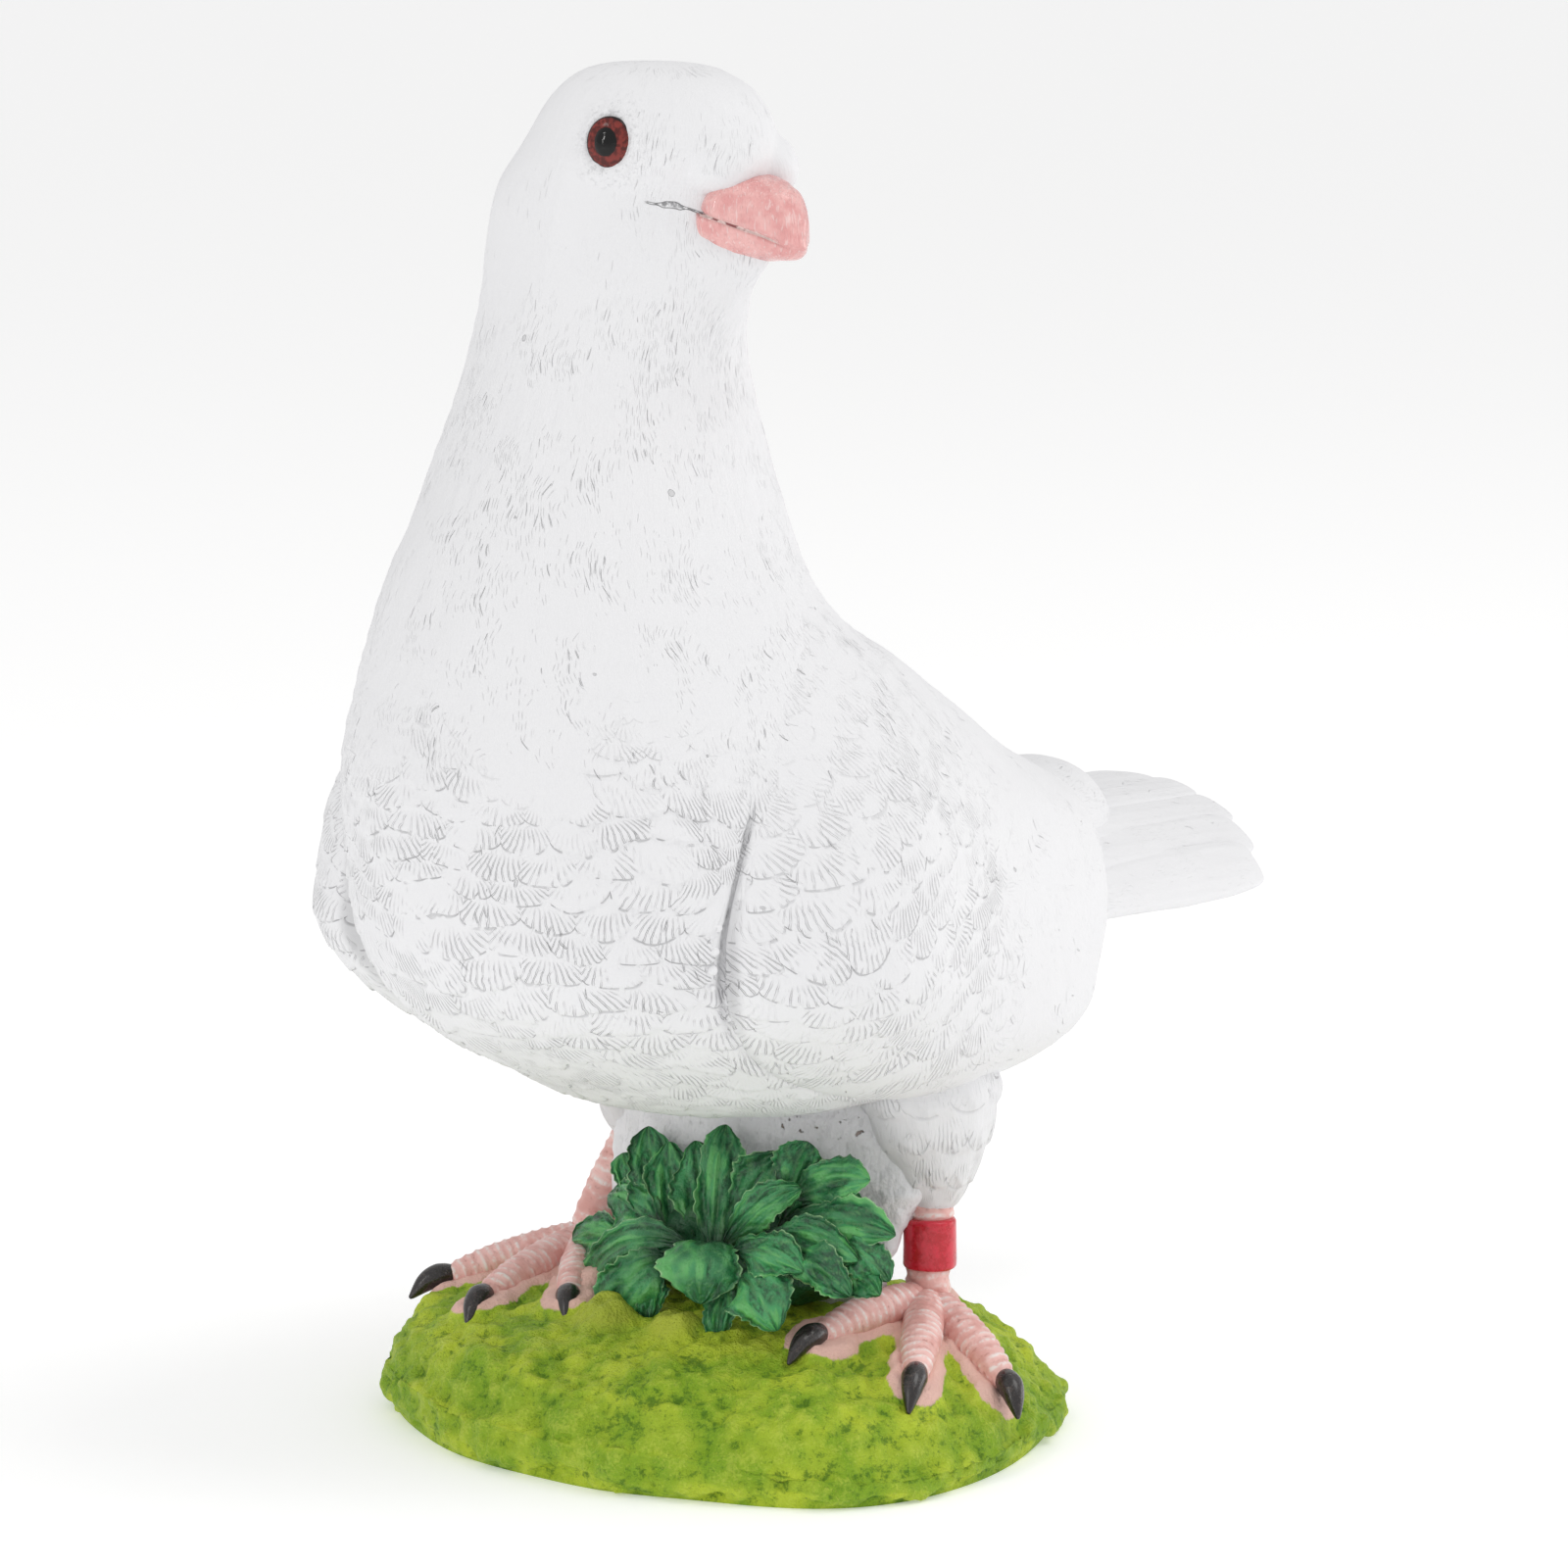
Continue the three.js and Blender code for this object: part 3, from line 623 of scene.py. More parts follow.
def leg_paint():
    """Pink, with white brushed over the ridges and painted shade, a duller pink, between them."""
    paint = Paint("pink_legs")
    place = paint.place()
    ridge = paint.mark("relief")
    patchy = paint.noise(place, 3.5, 3.0)
    streaks = paint.noise(place, 0.8, 2.0)
    brushed = ridge.rise(0.06, 0.26) * streaks.rise(0.32, 0.55) * patchy.rise(0.36, 0.56)
    colour = paint.coats(
        (0.74, 0.39, 0.35),
        ((0.88, 0.56, 0.52), patchy.rise(0.3, 0.7)),
        # Painted shade: duller pink in the hollows between the ridges.
        ((0.45, 0.18, 0.15), ridge.rise(0.04, -0.03) * streaks.rise(0.4, 0.65) * 0.6),
        ((0.88, 0.82, 0.79), brushed * 0.85),
    )
    return paint.finish(colour, 0.32 + streaks * 0.2, streaks, 0.2, specular_ior_level=0.4)


def claw_paint():
    """Glossy black, paler brown in patches."""
    paint = Paint("black_claws")
    patchy_tone = paint.noise(paint.place(), 1.2, 4.0, 0.7)
    # Paler brown in random patches.
    colour = paint.coats((0.012, 0.008, 0.008), ((0.05, 0.035, 0.03), patchy_tone.rise(0.5, 0.7)))
    return paint.finish(colour, 0.16 + patchy_tone * 0.2, patchy_tone, 0.2, specular_ior_level=0.5, coat_weight=0.4)


def band_paint():
    """Glossy red, brushed on unevenly."""
    paint = Paint("red_band")
    brushed = paint.noise(paint.place(), 2.4, 4.0, 0.6)
    colour = paint.coats((0.50, 0.006, 0.016), ((0.68, 0.022, 0.050), brushed.rise(0.35, 0.65)))
    return paint.finish(colour, 0.18 + brushed * 0.2, brushed, 0.35, specular_ior_level=0.4, coat_weight=0.3)


def eye_paint():
    """A domed black pupil, a red-brown ring painted round it by hand, and a thin dark edge."""
    paint = Paint("painted_eye")
    place = paint.place()
    uneven = (paint.noise(place, 1.3, 2.0) - 0.5) * 0.16
    pupil, rim = paint.mark("pupil") + uneven, paint.mark("out") + uneven * 0.6
    brushed = paint.noise(place, 0.8, 2.0)
    iris = paint.coats((0.085, 0.014, 0.012), ((0.22, 0.034, 0.027), brushed.rise(0.36, 0.62)))
    black = (0.003, 0.003, 0.003)
    colour = paint.coats(black, (iris, pupil.rise(0.98, 1.1)), ((0.012, 0.004, 0.004), rim.rise(0.90, 0.95)))
    return paint.finish(colour, 0.05 + pupil.rise(0.9, 1.2) * 0.12, brushed, 0.06, specular_ior_level=0.35)


def leaf_paint():
    """Deep green, paler on the veins, with painted highlight on the raised strokes and painted shade between
    them, near the root and on the back, raised edges pale partly from paint and partly as painted highlight,
    and a dull gloss.
    """
    paint = Paint("green_leaves")
    place = paint.place()
    rim, vein, stroke, inner = (paint.mark(name) for name in ("rim", "vein", "stroke", "inner"))
    patchy = paint.noise(place, 7.0, 2.0)
    brushed = paint.noise(place, 1.1, 3.0, 0.65)
    colour = paint.coats(
        (0.018, 0.15, 0.050),
        ((0.06, 0.33, 0.115), patchy.rise(0.32, 0.66)),
        # Painted shade in the grooves between the strokes.
        ((0.005, 0.042, 0.018), stroke.rise(-0.02, -0.4) * brushed.rise(0.3, 0.6) * 0.8),
        # Painted highlight on the raised strokes.
        ((0.12, 0.44, 0.12), stroke.rise(0.1, 0.5) * patchy.rise(0.36, 0.56) * 0.85),
        ((0.16, 0.44, 0.16), vein * brushed.rise(0.38, 0.52) * 0.85),
        # Raised edges: partly pale paint and partly painted highlight.
        ((0.36, 0.62, 0.30), rim * brushed.rise(0.40, 0.50) * 0.8),
        # Painted shade near the root, on the back of each blade and in the mass between the leaves.
        ((0.004, 0.032, 0.014), inner * 0.9),
    )
    return paint.finish(colour, 0.2 + brushed * 0.25, brushed + stroke * 0.7, 0.5, specular_ior_level=0.5)


def grass_paint():
    """Lime green with painted highlight on the tops of the crumbs, darker between them partly from its
    mottled paint and partly as painted shade, painted shade on its steep sides, and pink round the toes.
    """
    paint = Paint("lime_mound")
    place = paint.place()
    relief, pink, yellow, steep = (paint.mark(name) for name in ("relief", "pink", "yellow", "steep"))
    broad = paint.noise(place, 12.0, 3.0, 0.6)
    crumbs = paint.noise(place, 1.4, 4.0, 0.75)
    grit = paint.noise(place, 0.55, 2.0)
    hollow = (crumbs - relief * 0.14 - broad * 0.2).rise(0.42, 0.62)
    lit = (relief * 0.3 + grit).rise(0.50, 0.85)
    ragged = (pink + (crumbs - 0.5) * 0.5).rise(0.45, 0.6)
    colour = paint.coats(
        (0.26, 0.44, 0.018),
        ((0.52, 0.65, 0.040), broad.rise(0.38, 0.62)),
        # Painted shade on the steep sides.
        ((0.22, 0.39, 0.018), steep * 0.5),
        # Darker patches: partly mottled paint, partly painted shade in the mound's hollows.
        ((0.06, 0.17, 0.008), hollow * 0.75),
        # Painted highlight on the raised crumbs.
        ((0.60, 0.70, 0.09), lit * 0.45),
        ((0.50, 0.56, 0.06), yellow * 0.8),
        ((0.84, 0.52, 0.47), ragged * 0.95),
    )
    height = (crumbs + grit * 0.5) * (1 - 0.6 * pink)
    return paint.finish(colour, 0.42 + crumbs * 0.25, height, 1.0, specular_ior_level=0.3)


# The bare body.
def levels_at(t):
    """The level outlines at each t, from 0 at the crown to 1 at the belly."""
    last = len(LEVELS) - 1
    rows = np.vstack([LEVELS[1] * MIRRORED, LEVELS, LEVELS[-2] * MIRRORED])
    i = np.minimum((t * last).astype(int), last - 1)
    return through(rows[i], rows[i + 1], rows[i + 2], rows[i + 3], (t * last - i)[:, None])


def on_level(level, turn):
    """The point on each level outline at the turn from the breast round to the dove's left."""
    local = turn - np.radians(level[:, YAW])
    rear = np.cos(local) < 0
    reach = np.maximum(np.where(rear, level[:, BEHIND], level[:, AHEAD]), TINY)
    power = np.where(rear, level[:, AFT], level[:, FORE])
    r = oval_reach(np.cos(local), np.sin(local), reach, np.maximum(level[:, SIDE], TINY), power)
    return np.stack([level[:, X] + r * np.sin(turn), level[:, Y] - r * np.cos(turn), level[:, Z]], 1)


STEPS = np.linspace(0, 1, 801)
STEP_LEVELS = levels_at(STEPS)
PROFILES = [on_level(STEP_LEVELS, np.full(len(STEPS), turn)) for turn in (0, pi / 2, pi, -pi / 2)]
GAPS = np.mean([np.linalg.norm(np.diff(profile, axis=0), axis=1) for profile in PROFILES], axis=0)
DOWN = np.concatenate([[0], np.cumsum(GAPS)])
FALLING = np.minimum.accumulate(STEP_LEVELS[:, Z])
# The share of the rings down to each height: they lie closest together where the feathers and the face are.
CLOSE = 0.75 + 0.75 * smooth(58, 72, FALLING) * smooth(145, 125, FALLING) + 0.35 * smooth(205, 215, FALLING)
WAY_SHARES = np.concatenate([[0], np.cumsum(np.diff(DOWN) * CLOSE[1:])])
WAY_SHARES = WAY_SHARES / WAY_SHARES[-1]


def in_body(x, y, z):
    """Whether points are inside the bare form."""
    level = np.stack([np.interp(z, FALLING[::-1], column[::-1]) for column in STEP_LEVELS.T], 1)
    edge = on_level(level, np.arctan2(x - level[:, X], level[:, Y] - y))
    inside = np.hypot(x - level[:, X], y - level[:, Y])
    inside = inside < np.hypot(edge[:, 0] - level[:, X], edge[:, 1] - level[:, Y])
    return inside & (z > FALLING[-1]) & (z < FALLING[0])


def body_reach(y, across, up):
    """How far the bare form reaches from the wings' line, at y along it and in a direction across it."""
    inside = np.zeros(len(y))
    outside = np.full(len(y), 130.0)
    for _ in range(20):
        middle = (inside + outside) / 2
        held = in_body(across * middle, y, WING.line + up * middle)
        inside = np.where(held, middle, inside)
        outside = np.where(held, outside, middle)
    return inside


# The plumage.
def tiles(columns, rows):
    """Feathers that overlap like roof tiles, as the paint works them out too: the place across the feather
    that shows, from -1 to 1, the way from its root in rows, and the same as a share of its length."""

    def laid(row):
        across = 2 * ((columns + 0.5 * (row % 2)) % 1) - 1
        way = rows - row
        return across, way, way / (1 + FEATHER.lobe * np.sqrt(np.clip(1 - across**2, 0, 1)))

    upper, lower = laid(np.floor(rows) - 1), laid(np.floor(rows))
    return [np.where(upper[2] < 1, high, low) for high, low in zip(upper, lower)]


def feather_relief(columns, rows, step):
    """The height of overlapping feathers, in millimetres: each rises to its tip and is rounded across."""
    across, _, share = tiles(columns, rows)
    return step * (np.clip(share, 0, 1) ** FEATHER.power - 0.45 + FEATHER.crown * (0.6 - across**2))


def push_out(places, facing, centre, radius, blend):
    """How far points move out along the way they face to lie on a round lump, softly joined."""
    to = places - np.array(centre)
    along = (to * facing).sum(1)
    inner = along**2 - (to**2).sum(1) + radius**2
    rise = np.sqrt(np.maximum(inner, 0)) - along
    rise = np.where((inner > 0) & (np.abs(along) < radius), rise, -radius)
    return 0.5 * (rise + np.sqrt(rise**2 + blend**2))


def crowded(turn):
    """Moves columns of facets from under the wings to the breast."""
    spread = np.linspace(0, tau, 721)
    side = np.abs((spread + pi) % tau - pi)
    dense = mix(1.5, 0.45, smooth(radians(75), radians(100), side))
    dense = dense + 0.4 * smooth(radians(140), radians(165), side)
    count = np.concatenate([[0], np.cumsum(dense[1:])])
    return np.interp(turn, count / count[-1] * tau, spread)


def eye_middle(hand):
    return np.array([EYE.x, HEAD_Y + hand * EYE.across, EYE.z])


def dove_body():
    """The breast, belly, neck and head, with the feathers, the cere, the rings round the eyes and the gap
    before each wing."""
    mesh, t, turn = ball("plumage", BODY.facets)
    way = np.interp(t, WAY_SHARES, DOWN)
    level = levels_at(np.interp(way, DOWN, STEPS))
    whole = mix(turn, crowded(turn), smooth(158, 132, level[:, Z])) / tau
    turn = whole * tau
    places = on_level(level, turn)
    facing = shape(mesh, places)
    x, y, z = places.T
    side = (turn + pi) % tau - pi
    ragged = z + 12 * lumps(21, places, 17) + 5 * lumps(26, places, 6)
    back = smooth(5, 35, y) * smooth(80, 95, z)
    feathered = smooth(*BODY.feathered, ragged) * smooth(*BODY.belly, z) * (1 - 0.9 * back)
    bare = smooth(*BODY.bare, z + 5 * lumps(20, places, 14)) * (1 - 0.5 * smooth(12, 24, x))
    bare = np.maximum(bare, 0.6 * back)

    columns = whole * BODY.columns + 0.55 * grain(22, side * 4.2, way / 12)
    rows = way / BODY.pitch + 0.7 * grain(23, side * 4.6, way / 13) + 0.25 * grain(25, side * 11, way / 6)
    step = mix(BODY.tuft, BODY.step, feathered) * (1 + 0.5 * lumps(24, places, 9))
    u = side * BODY.flow
    streaks = 0.10 * grain(41, u / 2.2, way / 7) + 0.10 * grain(42, u / 4, way / 11)
    relief = feather_relief(columns, rows, step) + streaks * (1 - 0.6 * feathered)
    relief = relief * (1 - 0.82 * bare) + 0.38 * lumps(44, places, 14) * (1 - 0.7 * bare)

    degrees = np.degrees(np.arctan2(z - WING.line, np.abs(x)))
    out = wing_spread(y, degrees, np.where(x > 0, WING.front, WING.far_front))
    beside = np.exp(-(((out - GROOVE.middle) / GROOVE.width) ** 2)) * slit(degrees)
    relief = relief - GROOVE.depth * beside

    head = np.zeros(len(places))
    for centre, radius, blend in CERE:
        head = np.maximum(head, push_out(places, facing, centre, radius, blend))
    ring = np.zeros(len(places))
    wrinkled = np.zeros(len(places))
    for hand in (-1, 1):
        out = np.linalg.norm((places - eye_middle(hand)) * np.array([1.0, 0.6, 0.92]), axis=1)
        ring = ring + 0.5 * np.exp(-(((out - 4.9) / 0.7) ** 2)) - 0.6 * smooth(4.4, 3.4, out)
        wrinkled = wrinkled + smooth(8.6 + 1.5 * lumps(46, places, 3), 5.0, out)
    head = head + ring + 0.22 * wrinkled * lumps(45, places, 1.4)
    put(mesh, places + facing * (relief + head)[:, None])

    # The groove mark carries painted shade into the gap before each wing.
    mark(mesh, feathered=feathered, bare=bare, wrinkled=wrinkled, groove=beside)
    lay_round(mesh, "flow", whole, tau * BODY.flow * MM, way * MM)
    lay_round(mesh, "feathers", columns / BODY.columns, BODY.columns, rows)
    return mesh


# The wings.
def slit(degrees):
    """How open the gap before the wing is: closed at the top, and only a faint line under the wing."""
    return smooth(30, 22, degrees) * mix(0.25, 1, smooth(-30, -12, degrees))


def wing_lean(share, degrees):
    """How far back the wing's front edge leans above its middle."""
    return WING.lean * smooth(-5, 45, degrees) * np.clip(1 - share, 0, 1) ** 2


def wing_edges(share):
    """The bottom and the top of the wing in degrees, by the share of the way to its back."""
    rear = smooth(WING.rear_share, 1, share)
    bottom = mix(WING.bottom, WING.bottom_rear, rear ** WING.rear_power)
    return bottom, mix(WING.top, WING.top_rear, rear)


def wing_spread(y, degrees, front):
    """How far out a spot is in the wing's outline: 0 in its middle, 1 on its rim."""
    share = (y - front) / (WING.back - front)
    middle = mix(front, WING.back, WING.middle)
    half = np.where(y < middle, middle - front, WING.back - middle)
    bottom, top = wing_edges(share)
    along = np.abs(y - wing_lean(share, degrees) - middle) / half
    above = degrees - WING.middle_turn
    over = np.abs(above) / np.where(above > 0, top - WING.middle_turn, WING.middle_turn - bottom)
    return (along ** WING.round + over ** WING.round) ** (1 / WING.round)


def wing_thickness(share, degrees):
    """How far the wing stands over the body: most at the wrist and the rear, and least on the back."""
    wrist = (1 - smooth(*WING.wrist_shares, share)) * smooth(*WING.wrist_rise, degrees)
    flat = mix(WING.thick, WING.rear, smooth(WING.rear_share, 1, share))
    return mix(mix(flat, WING.wrist, wrist), WING.upper, smooth(*WING.fade, degrees))


def wing(hand, name):
    """A folded wing: its outer side to the rim, and then its inner side, sunk in the body."""
    mesh, t, turn = ball(name, WING.facets)
    outer = t < WING.outer
    q = np.where(outer, t / WING.outer, (1 - t) / (1 - WING.outer))
    spread = 1 - (1 - q) ** 1.5
    front = WING.front if hand > 0 else WING.far_front
    middle = mix(front, WING.back, WING.middle)
    half = np.where(np.cos(turn) < 0, middle - front, WING.back - middle)
    y = middle + spread * half * squared(np.cos(turn), WING.along)
    share = (y - front) / (WING.back - front)
    bottom, top = wing_edges(share)
    half_turn = np.where(np.sin(turn) > 0, top - WING.middle_turn, WING.middle_turn - bottom)
    degrees = WING.middle_turn + spread * half_turn * squared(np.sin(turn), WING.across)
    y = y + wing_lean(share, degrees)
    soft = smooth(-0.25, 0.45, np.sin(turn))
    # The left wing lies almost flush with the breast along its front edge.
    flush = smooth(0.3, -0.5, np.cos(turn)) * (hand > 0)
    edge = mix(mix(WING.dome, WING.flush_dome, flush), WING.soft_dome, soft)
    dome = np.clip(1 - spread ** edge, 0, 1) ** mix(mix(ROUND, WING.flush, flush), WING.soft_round, soft)
    sinking = 0.9 * soft * smooth(0.8, 1, spread)
    over = np.where(outer, wing_thickness(share, degrees) * dome - sinking, -WING.sunk * dome - sinking)
    across, up = np.cos(np.radians(degrees)), np.sin(np.radians(degrees))
    reach = body_reach(y, across, up) + over
    places = np.stack([hand * across * reach, y, WING.line + up * reach], 1)

    # The feathers point down at the front and more and more to the rear behind it, where only strokes show.
    drop = np.radians(90 - degrees) * FAN.girth + FAN.above
    ahead = y + FAN.ahead
    ray = np.hypot(ahead, drop)
    swing = np.arctan2(ahead, drop)
    rows = ray / FAN.pitch + 0.7 * grain(50, swing * 12, ray / 13)
    columns = swing * FAN.columns + 0.45 * grain(51, swing * 13, ray / 12)
    upper = smooth(2, 34, degrees)
    feathered = smooth(22, -8, y + 14 * lumps(55, places, 15)) * (1 - 0.75 * upper) * outer
    step = (0.07 + 0.32 * feathered) * (1 + 0.5 * lumps(54, places, 9))
    u = swing * FAN.flow
    streaks = 0.10 * grain(52, u / 2.2, ray / 9)
    relief = feather_relief(columns, rows, step) + streaks + 0.3 * lumps(53, places, 12)
    carve(mesh, places, relief * np.where(outer, smooth(1.0, 0.94, spread), 0))

    points, _, _ = corners_of(mesh)
    # The rim by the gap before the wing gets painted shade through the groove mark.
    rim = smooth(0.975, 0.995, spread) * (1 - soft) * slit(degrees)
    mark(mesh, feathered=feathered, bare=0.45 * smooth(-8, 22, y), wrinkled=0.0, groove=rim)
    lay(mesh, "flow", u[points] * MM, ray[points] * MM)
    lay(mesh, "feathers", columns[points], rows[points])
    return mesh


def limb_plumage(mesh, around, loop, way, bare=0.0, feathered=0.0):
    """The marks and maps for plumage with strokes alone. loop is how far it is round the whole form."""
    mark(mesh, feathered=feathered, bare=bare, wrinkled=0.0, groove=0.0)
    lay_round(mesh, "flow", around / loop, loop * MM, way * MM)
    lay_round(mesh, "feathers", around / loop, round(loop / 8), way / 7)


def beads():
    """Drops of resin left in the gap before the left wing by the casting."""
    made = []
    for number, (y, degrees, size) in enumerate(BEADS, 1):
        mesh, t, turn = ball(f"casting_bead_{number}", (20, 14))
        across, up = cos(radians(degrees)), sin(radians(degrees))
        reach = float(body_reach(np.array([y]), np.array([across]), np.array([up]))[0])
        shape(mesh, np.array([across * reach, y, WING.line + up * reach]) + size * ball_way(t, turn))
        limb_plumage(mesh, turn, tau, t, 1.0)
        made.append(mesh)
    return made


# Limbs, the rump and the tail.
def line_through(points):
    """A smooth line through points: places close together, the share of the way at each, and its length."""
    points = np.array(points, float)
    ends = np.vstack([2 * points[0] - points[1], points, 2 * points[-1] - points[-2]])
    s = np.linspace(0, len(points) - 1, 240)
    i = np.minimum(s.astype(int), len(points) - 2)
    dense = through(ends[i], ends[i + 1], ends[i + 2], ends[i + 3], (s - i)[:, None])
    gone = np.concatenate([[0], np.cumsum(np.linalg.norm(np.diff(dense, axis=0), axis=1))])
    return dense, gone / gone[-1], gone[-1]


def on_line(line, share):
    dense, shares, _ = line
    return np.stack([np.interp(share, shares, column) for column in dense.T], 1)


def limb(name, facets, points, radii, width=1.0, up=UP):
    """A round limb: its mesh, places, shares of the way along, turns and length. Its top is at pi / 2."""
    mesh, t, turn = ball(name, facets)
    line = line_through(points)
    share = travelled(t)
    ahead = unit(on_line(line, np.minimum(share + 0.02, 1)) - on_line(line, np.maximum(share - 0.02, 0)))
    side = unit(np.cross(ahead, up))
    over = np.cross(side, ahead)
    radius = np.interp(share, np.linspace(0, 1, len(radii)), radii) * bulge(t, ROUND)
    out = side * (width * np.cos(turn))[:, None] + over * np.sin(turn)[:, None]
    return mesh, on_line(line, share) + out * radius[:, None], share, turn, line[2]


def rump():
    mesh, places, share, turn, length = limb("rump", RUMP.facets, RUMP.line, RUMP.radii, RUMP.width)
    around, way = turn * RUMP.girth, share * length
    carve(mesh, places, feather_relief(around / 8, way / 8, RUMP.step) + 0.35 * lumps(62, places, 9))
    limb_plumage(mesh, around, tau * RUMP.girth, way, 0.5)
    return mesh


def tail_feather(order):
    """A flat feather with a raised shaft and grooves beside it, tilted so that it overlaps the next one."""
    place = order - (TAIL.feathers - 1) / 2
    rank = int(abs(place))
    lean = radians(place * TAIL.step)
    across = np.array([np.cos(lean), 0, -np.sin(lean)])
    out = np.array([np.sin(lean), 0, np.cos(lean)])
    root_y, root_z, root_radius = TAIL.root
    tip_y, tip_z, tip_radius = TAIL.tip
    root = np.array([0, root_y, root_z - TAIL.drop[rank]]) + out * root_radius
    tip = np.array([0, tip_y - TAIL.shorter[rank], tip_z + TAIL.lift[rank]]) + out * tip_radius
    mesh, t, turn = ball(f"tail_feather_{order + 1}", TAIL.facets)
    share = travelled(t)
    half = TAIL.width / 2 * mix(TAIL.narrow, TAIL.broad, share) * bulge(t, TAIL.blunt)
    over = TAIL.thick * bulge(t, ROUND) * (np.sin(turn) / 2 - TAIL.tilt * np.cos(turn))
    on = root + (tip - root) * share[:, None]
    places = on + across * (half * np.cos(turn))[:, None] + out * over[:, None]
    width = np.cos(turn)
    length = np.linalg.norm(tip - root)
    shaft = 0.3 * np.exp(-((width / 0.09) ** 2)) - 0.15 * np.exp(-(((np.abs(width) - 0.2) / 0.1) ** 2))
    grooves = 0.12 * grain(71 + order, width * 4, share * 6) + 0.1 * np.sin(width * 17)
    relief = (shaft + grooves) * smooth(0.995, 0.9, share) * smooth(0, 0.3, np.sin(turn))
    carve(mesh, places, relief + 0.25 * lumps(72, places, 8))
    limb_plumage(mesh, half * width, length * 10, share * length, 0.6)
    return mesh


# The face.
def bill():
    """One form for both halves of the bill, parted by a groove, the upper half a little proud."""
    mesh, t, turn = ball("bill", BILL.facets)
    share = travelled(t)
    c, s = np.cos(turn), np.sin(turn)
    x = mix(BILL.base, BILL.tip, share)
    start = np.clip(share / np.where(s > 0, BILL.upper_start, BILL.lower_start), 0, 1)
    round_end = np.sqrt(np.clip(1 - smooth(0.84, 1.0, share) ** 2, 0, 1)) * np.sqrt(1 - (1 - start) ** 2)
    middle = np.interp(x, BILL_X, BILL_GAPE)
    tall = np.where(s > 0, np.interp(x, BILL_X, BILL_TOP) - middle, middle - np.interp(x, BILL_X, BILL_LOW))
    wide = np.interp(x, BILL_X, BILL_WIDE)
    boxy = np.where(s > 0, BILL.upper_boxy, BILL.lower_boxy)
    places = np.stack([
        x + BILL.slant * s * (1 - share),
        HEAD_Y + wide * squared(c, boxy) * round_end,
        middle + tall * squared(s, boxy) * round_end,
    ], 1)
    off = places[:, 2] - np.interp(places[:, 0], BILL_X, BILL_GAPE)
    groove = np.exp(-((off / BILL.groove) ** 2)) * smooth(*BILL.parted, places[:, 0])
    relief = 0.3 * smooth(-0.2, 0.4, off) - 0.6 * groove + 0.16 * lumps(81, places, 2.6)
    carve(mesh, places, relief)
    mark(mesh, relief=relief)
    return mesh


def eye(hand, name):
    """A low dome with a higher one for the pupil, turned a little forward and up."""
    mesh, t, turn = ball(name, EYE.facets)
    out, front = np.sin(pi * t), np.cos(pi * t)
    forward, upward = radians(EYE.forward), radians(EYE.upward)
    facing = unit(np.array([np.sin(forward), hand * np.cos(forward), np.tan(upward)]))
    across = unit(np.cross(UP, facing))
    over = np.cross(facing, across)
    beside, above = out * np.cos(turn), out * np.sin(turn)
    pupil = np.hypot((beside - hand * EYE.pupil_back) / EYE.pupil_width, above / EYE.pupil_height)
    dome = EYE.dome * front + EYE.pupil_dome * np.sqrt(np.clip(1 - pupil**2, 0, 1)) * (front > 0)
    places = (eye_middle(hand) - facing * EYE.sunk + across * (EYE.width * beside)[:, None]
              + over * (EYE.height * above)[:, None] + facing * dome[:, None])
    shape(mesh, places)
    mark(mesh, out=np.where(front > 0, out, 1.0), pupil=np.where(front > 0, pupil, 2.0))
    return mesh


# The legs.
def mound_reach(x, y):
    """How far the mound's outline goes in the direction of a spot."""
    far = np.maximum(np.hypot(x, y), TINY)
    across = np.maximum(np.abs(x / far), TINY)
    return oval_reach(across, y / far, MOUND.half_width, MOUND.half_length, MOUND.power)


def mound_height(x, y):
    far = np.maximum(np.hypot(x, y), TINY)
    part = np.minimum(1, far / mound_reach(x, y))
    rim = MOUND.rim - MOUND.rim_slope * part * x / far
    return rim + (MOUND.height - rim) * (1 - part ** MOUND.dome) ** MOUND.blunt


def scaled_limb(name, sizes, points, radii, up, seed, both_sides=True):
    """A leg or toe with scutes: uneven ridges across it, on both sides or on its top alone."""
    mesh, places, share, turn, length = limb(name, sizes.facets, points, radii, 1.0, up)
    way = share * length
    phase = way / sizes.pitch + 0.12 * np.cos(2 * turn) + 0.25 * grain(seed, way / 7, turn)
    scutes = 0.34 * (1 - np.abs(np.sin(pi * phase)) ** 0.8) + 0.06 * grain(seed + 1, way / 1.2, turn * 3)
    top = np.ones(len(turn)) if both_sides else smooth(-0.5, 0.1, np.sin(turn))
    relief = scutes * top * smooth(0, 0.05, share) * smooth(1, 0.95, share)
    carve(mesh, places, relief)
    mark(mesh, relief=relief)
    return mesh


def toe_line(ankle, knuckle, claw):
    """A toe's line from the ankle over the mound and a little past its knuckle."""
    start = np.array(ankle) - UP * TOE.knuckle
    end, point = np.array(knuckle, float), np.array(claw, float)
    arch = (start + end) / 2
    arch[2] = max(mound_height(arch[0], arch[1]) + TOE.clear, arch[2])
    return [start, arch, mix(end, point, TOE.past)]


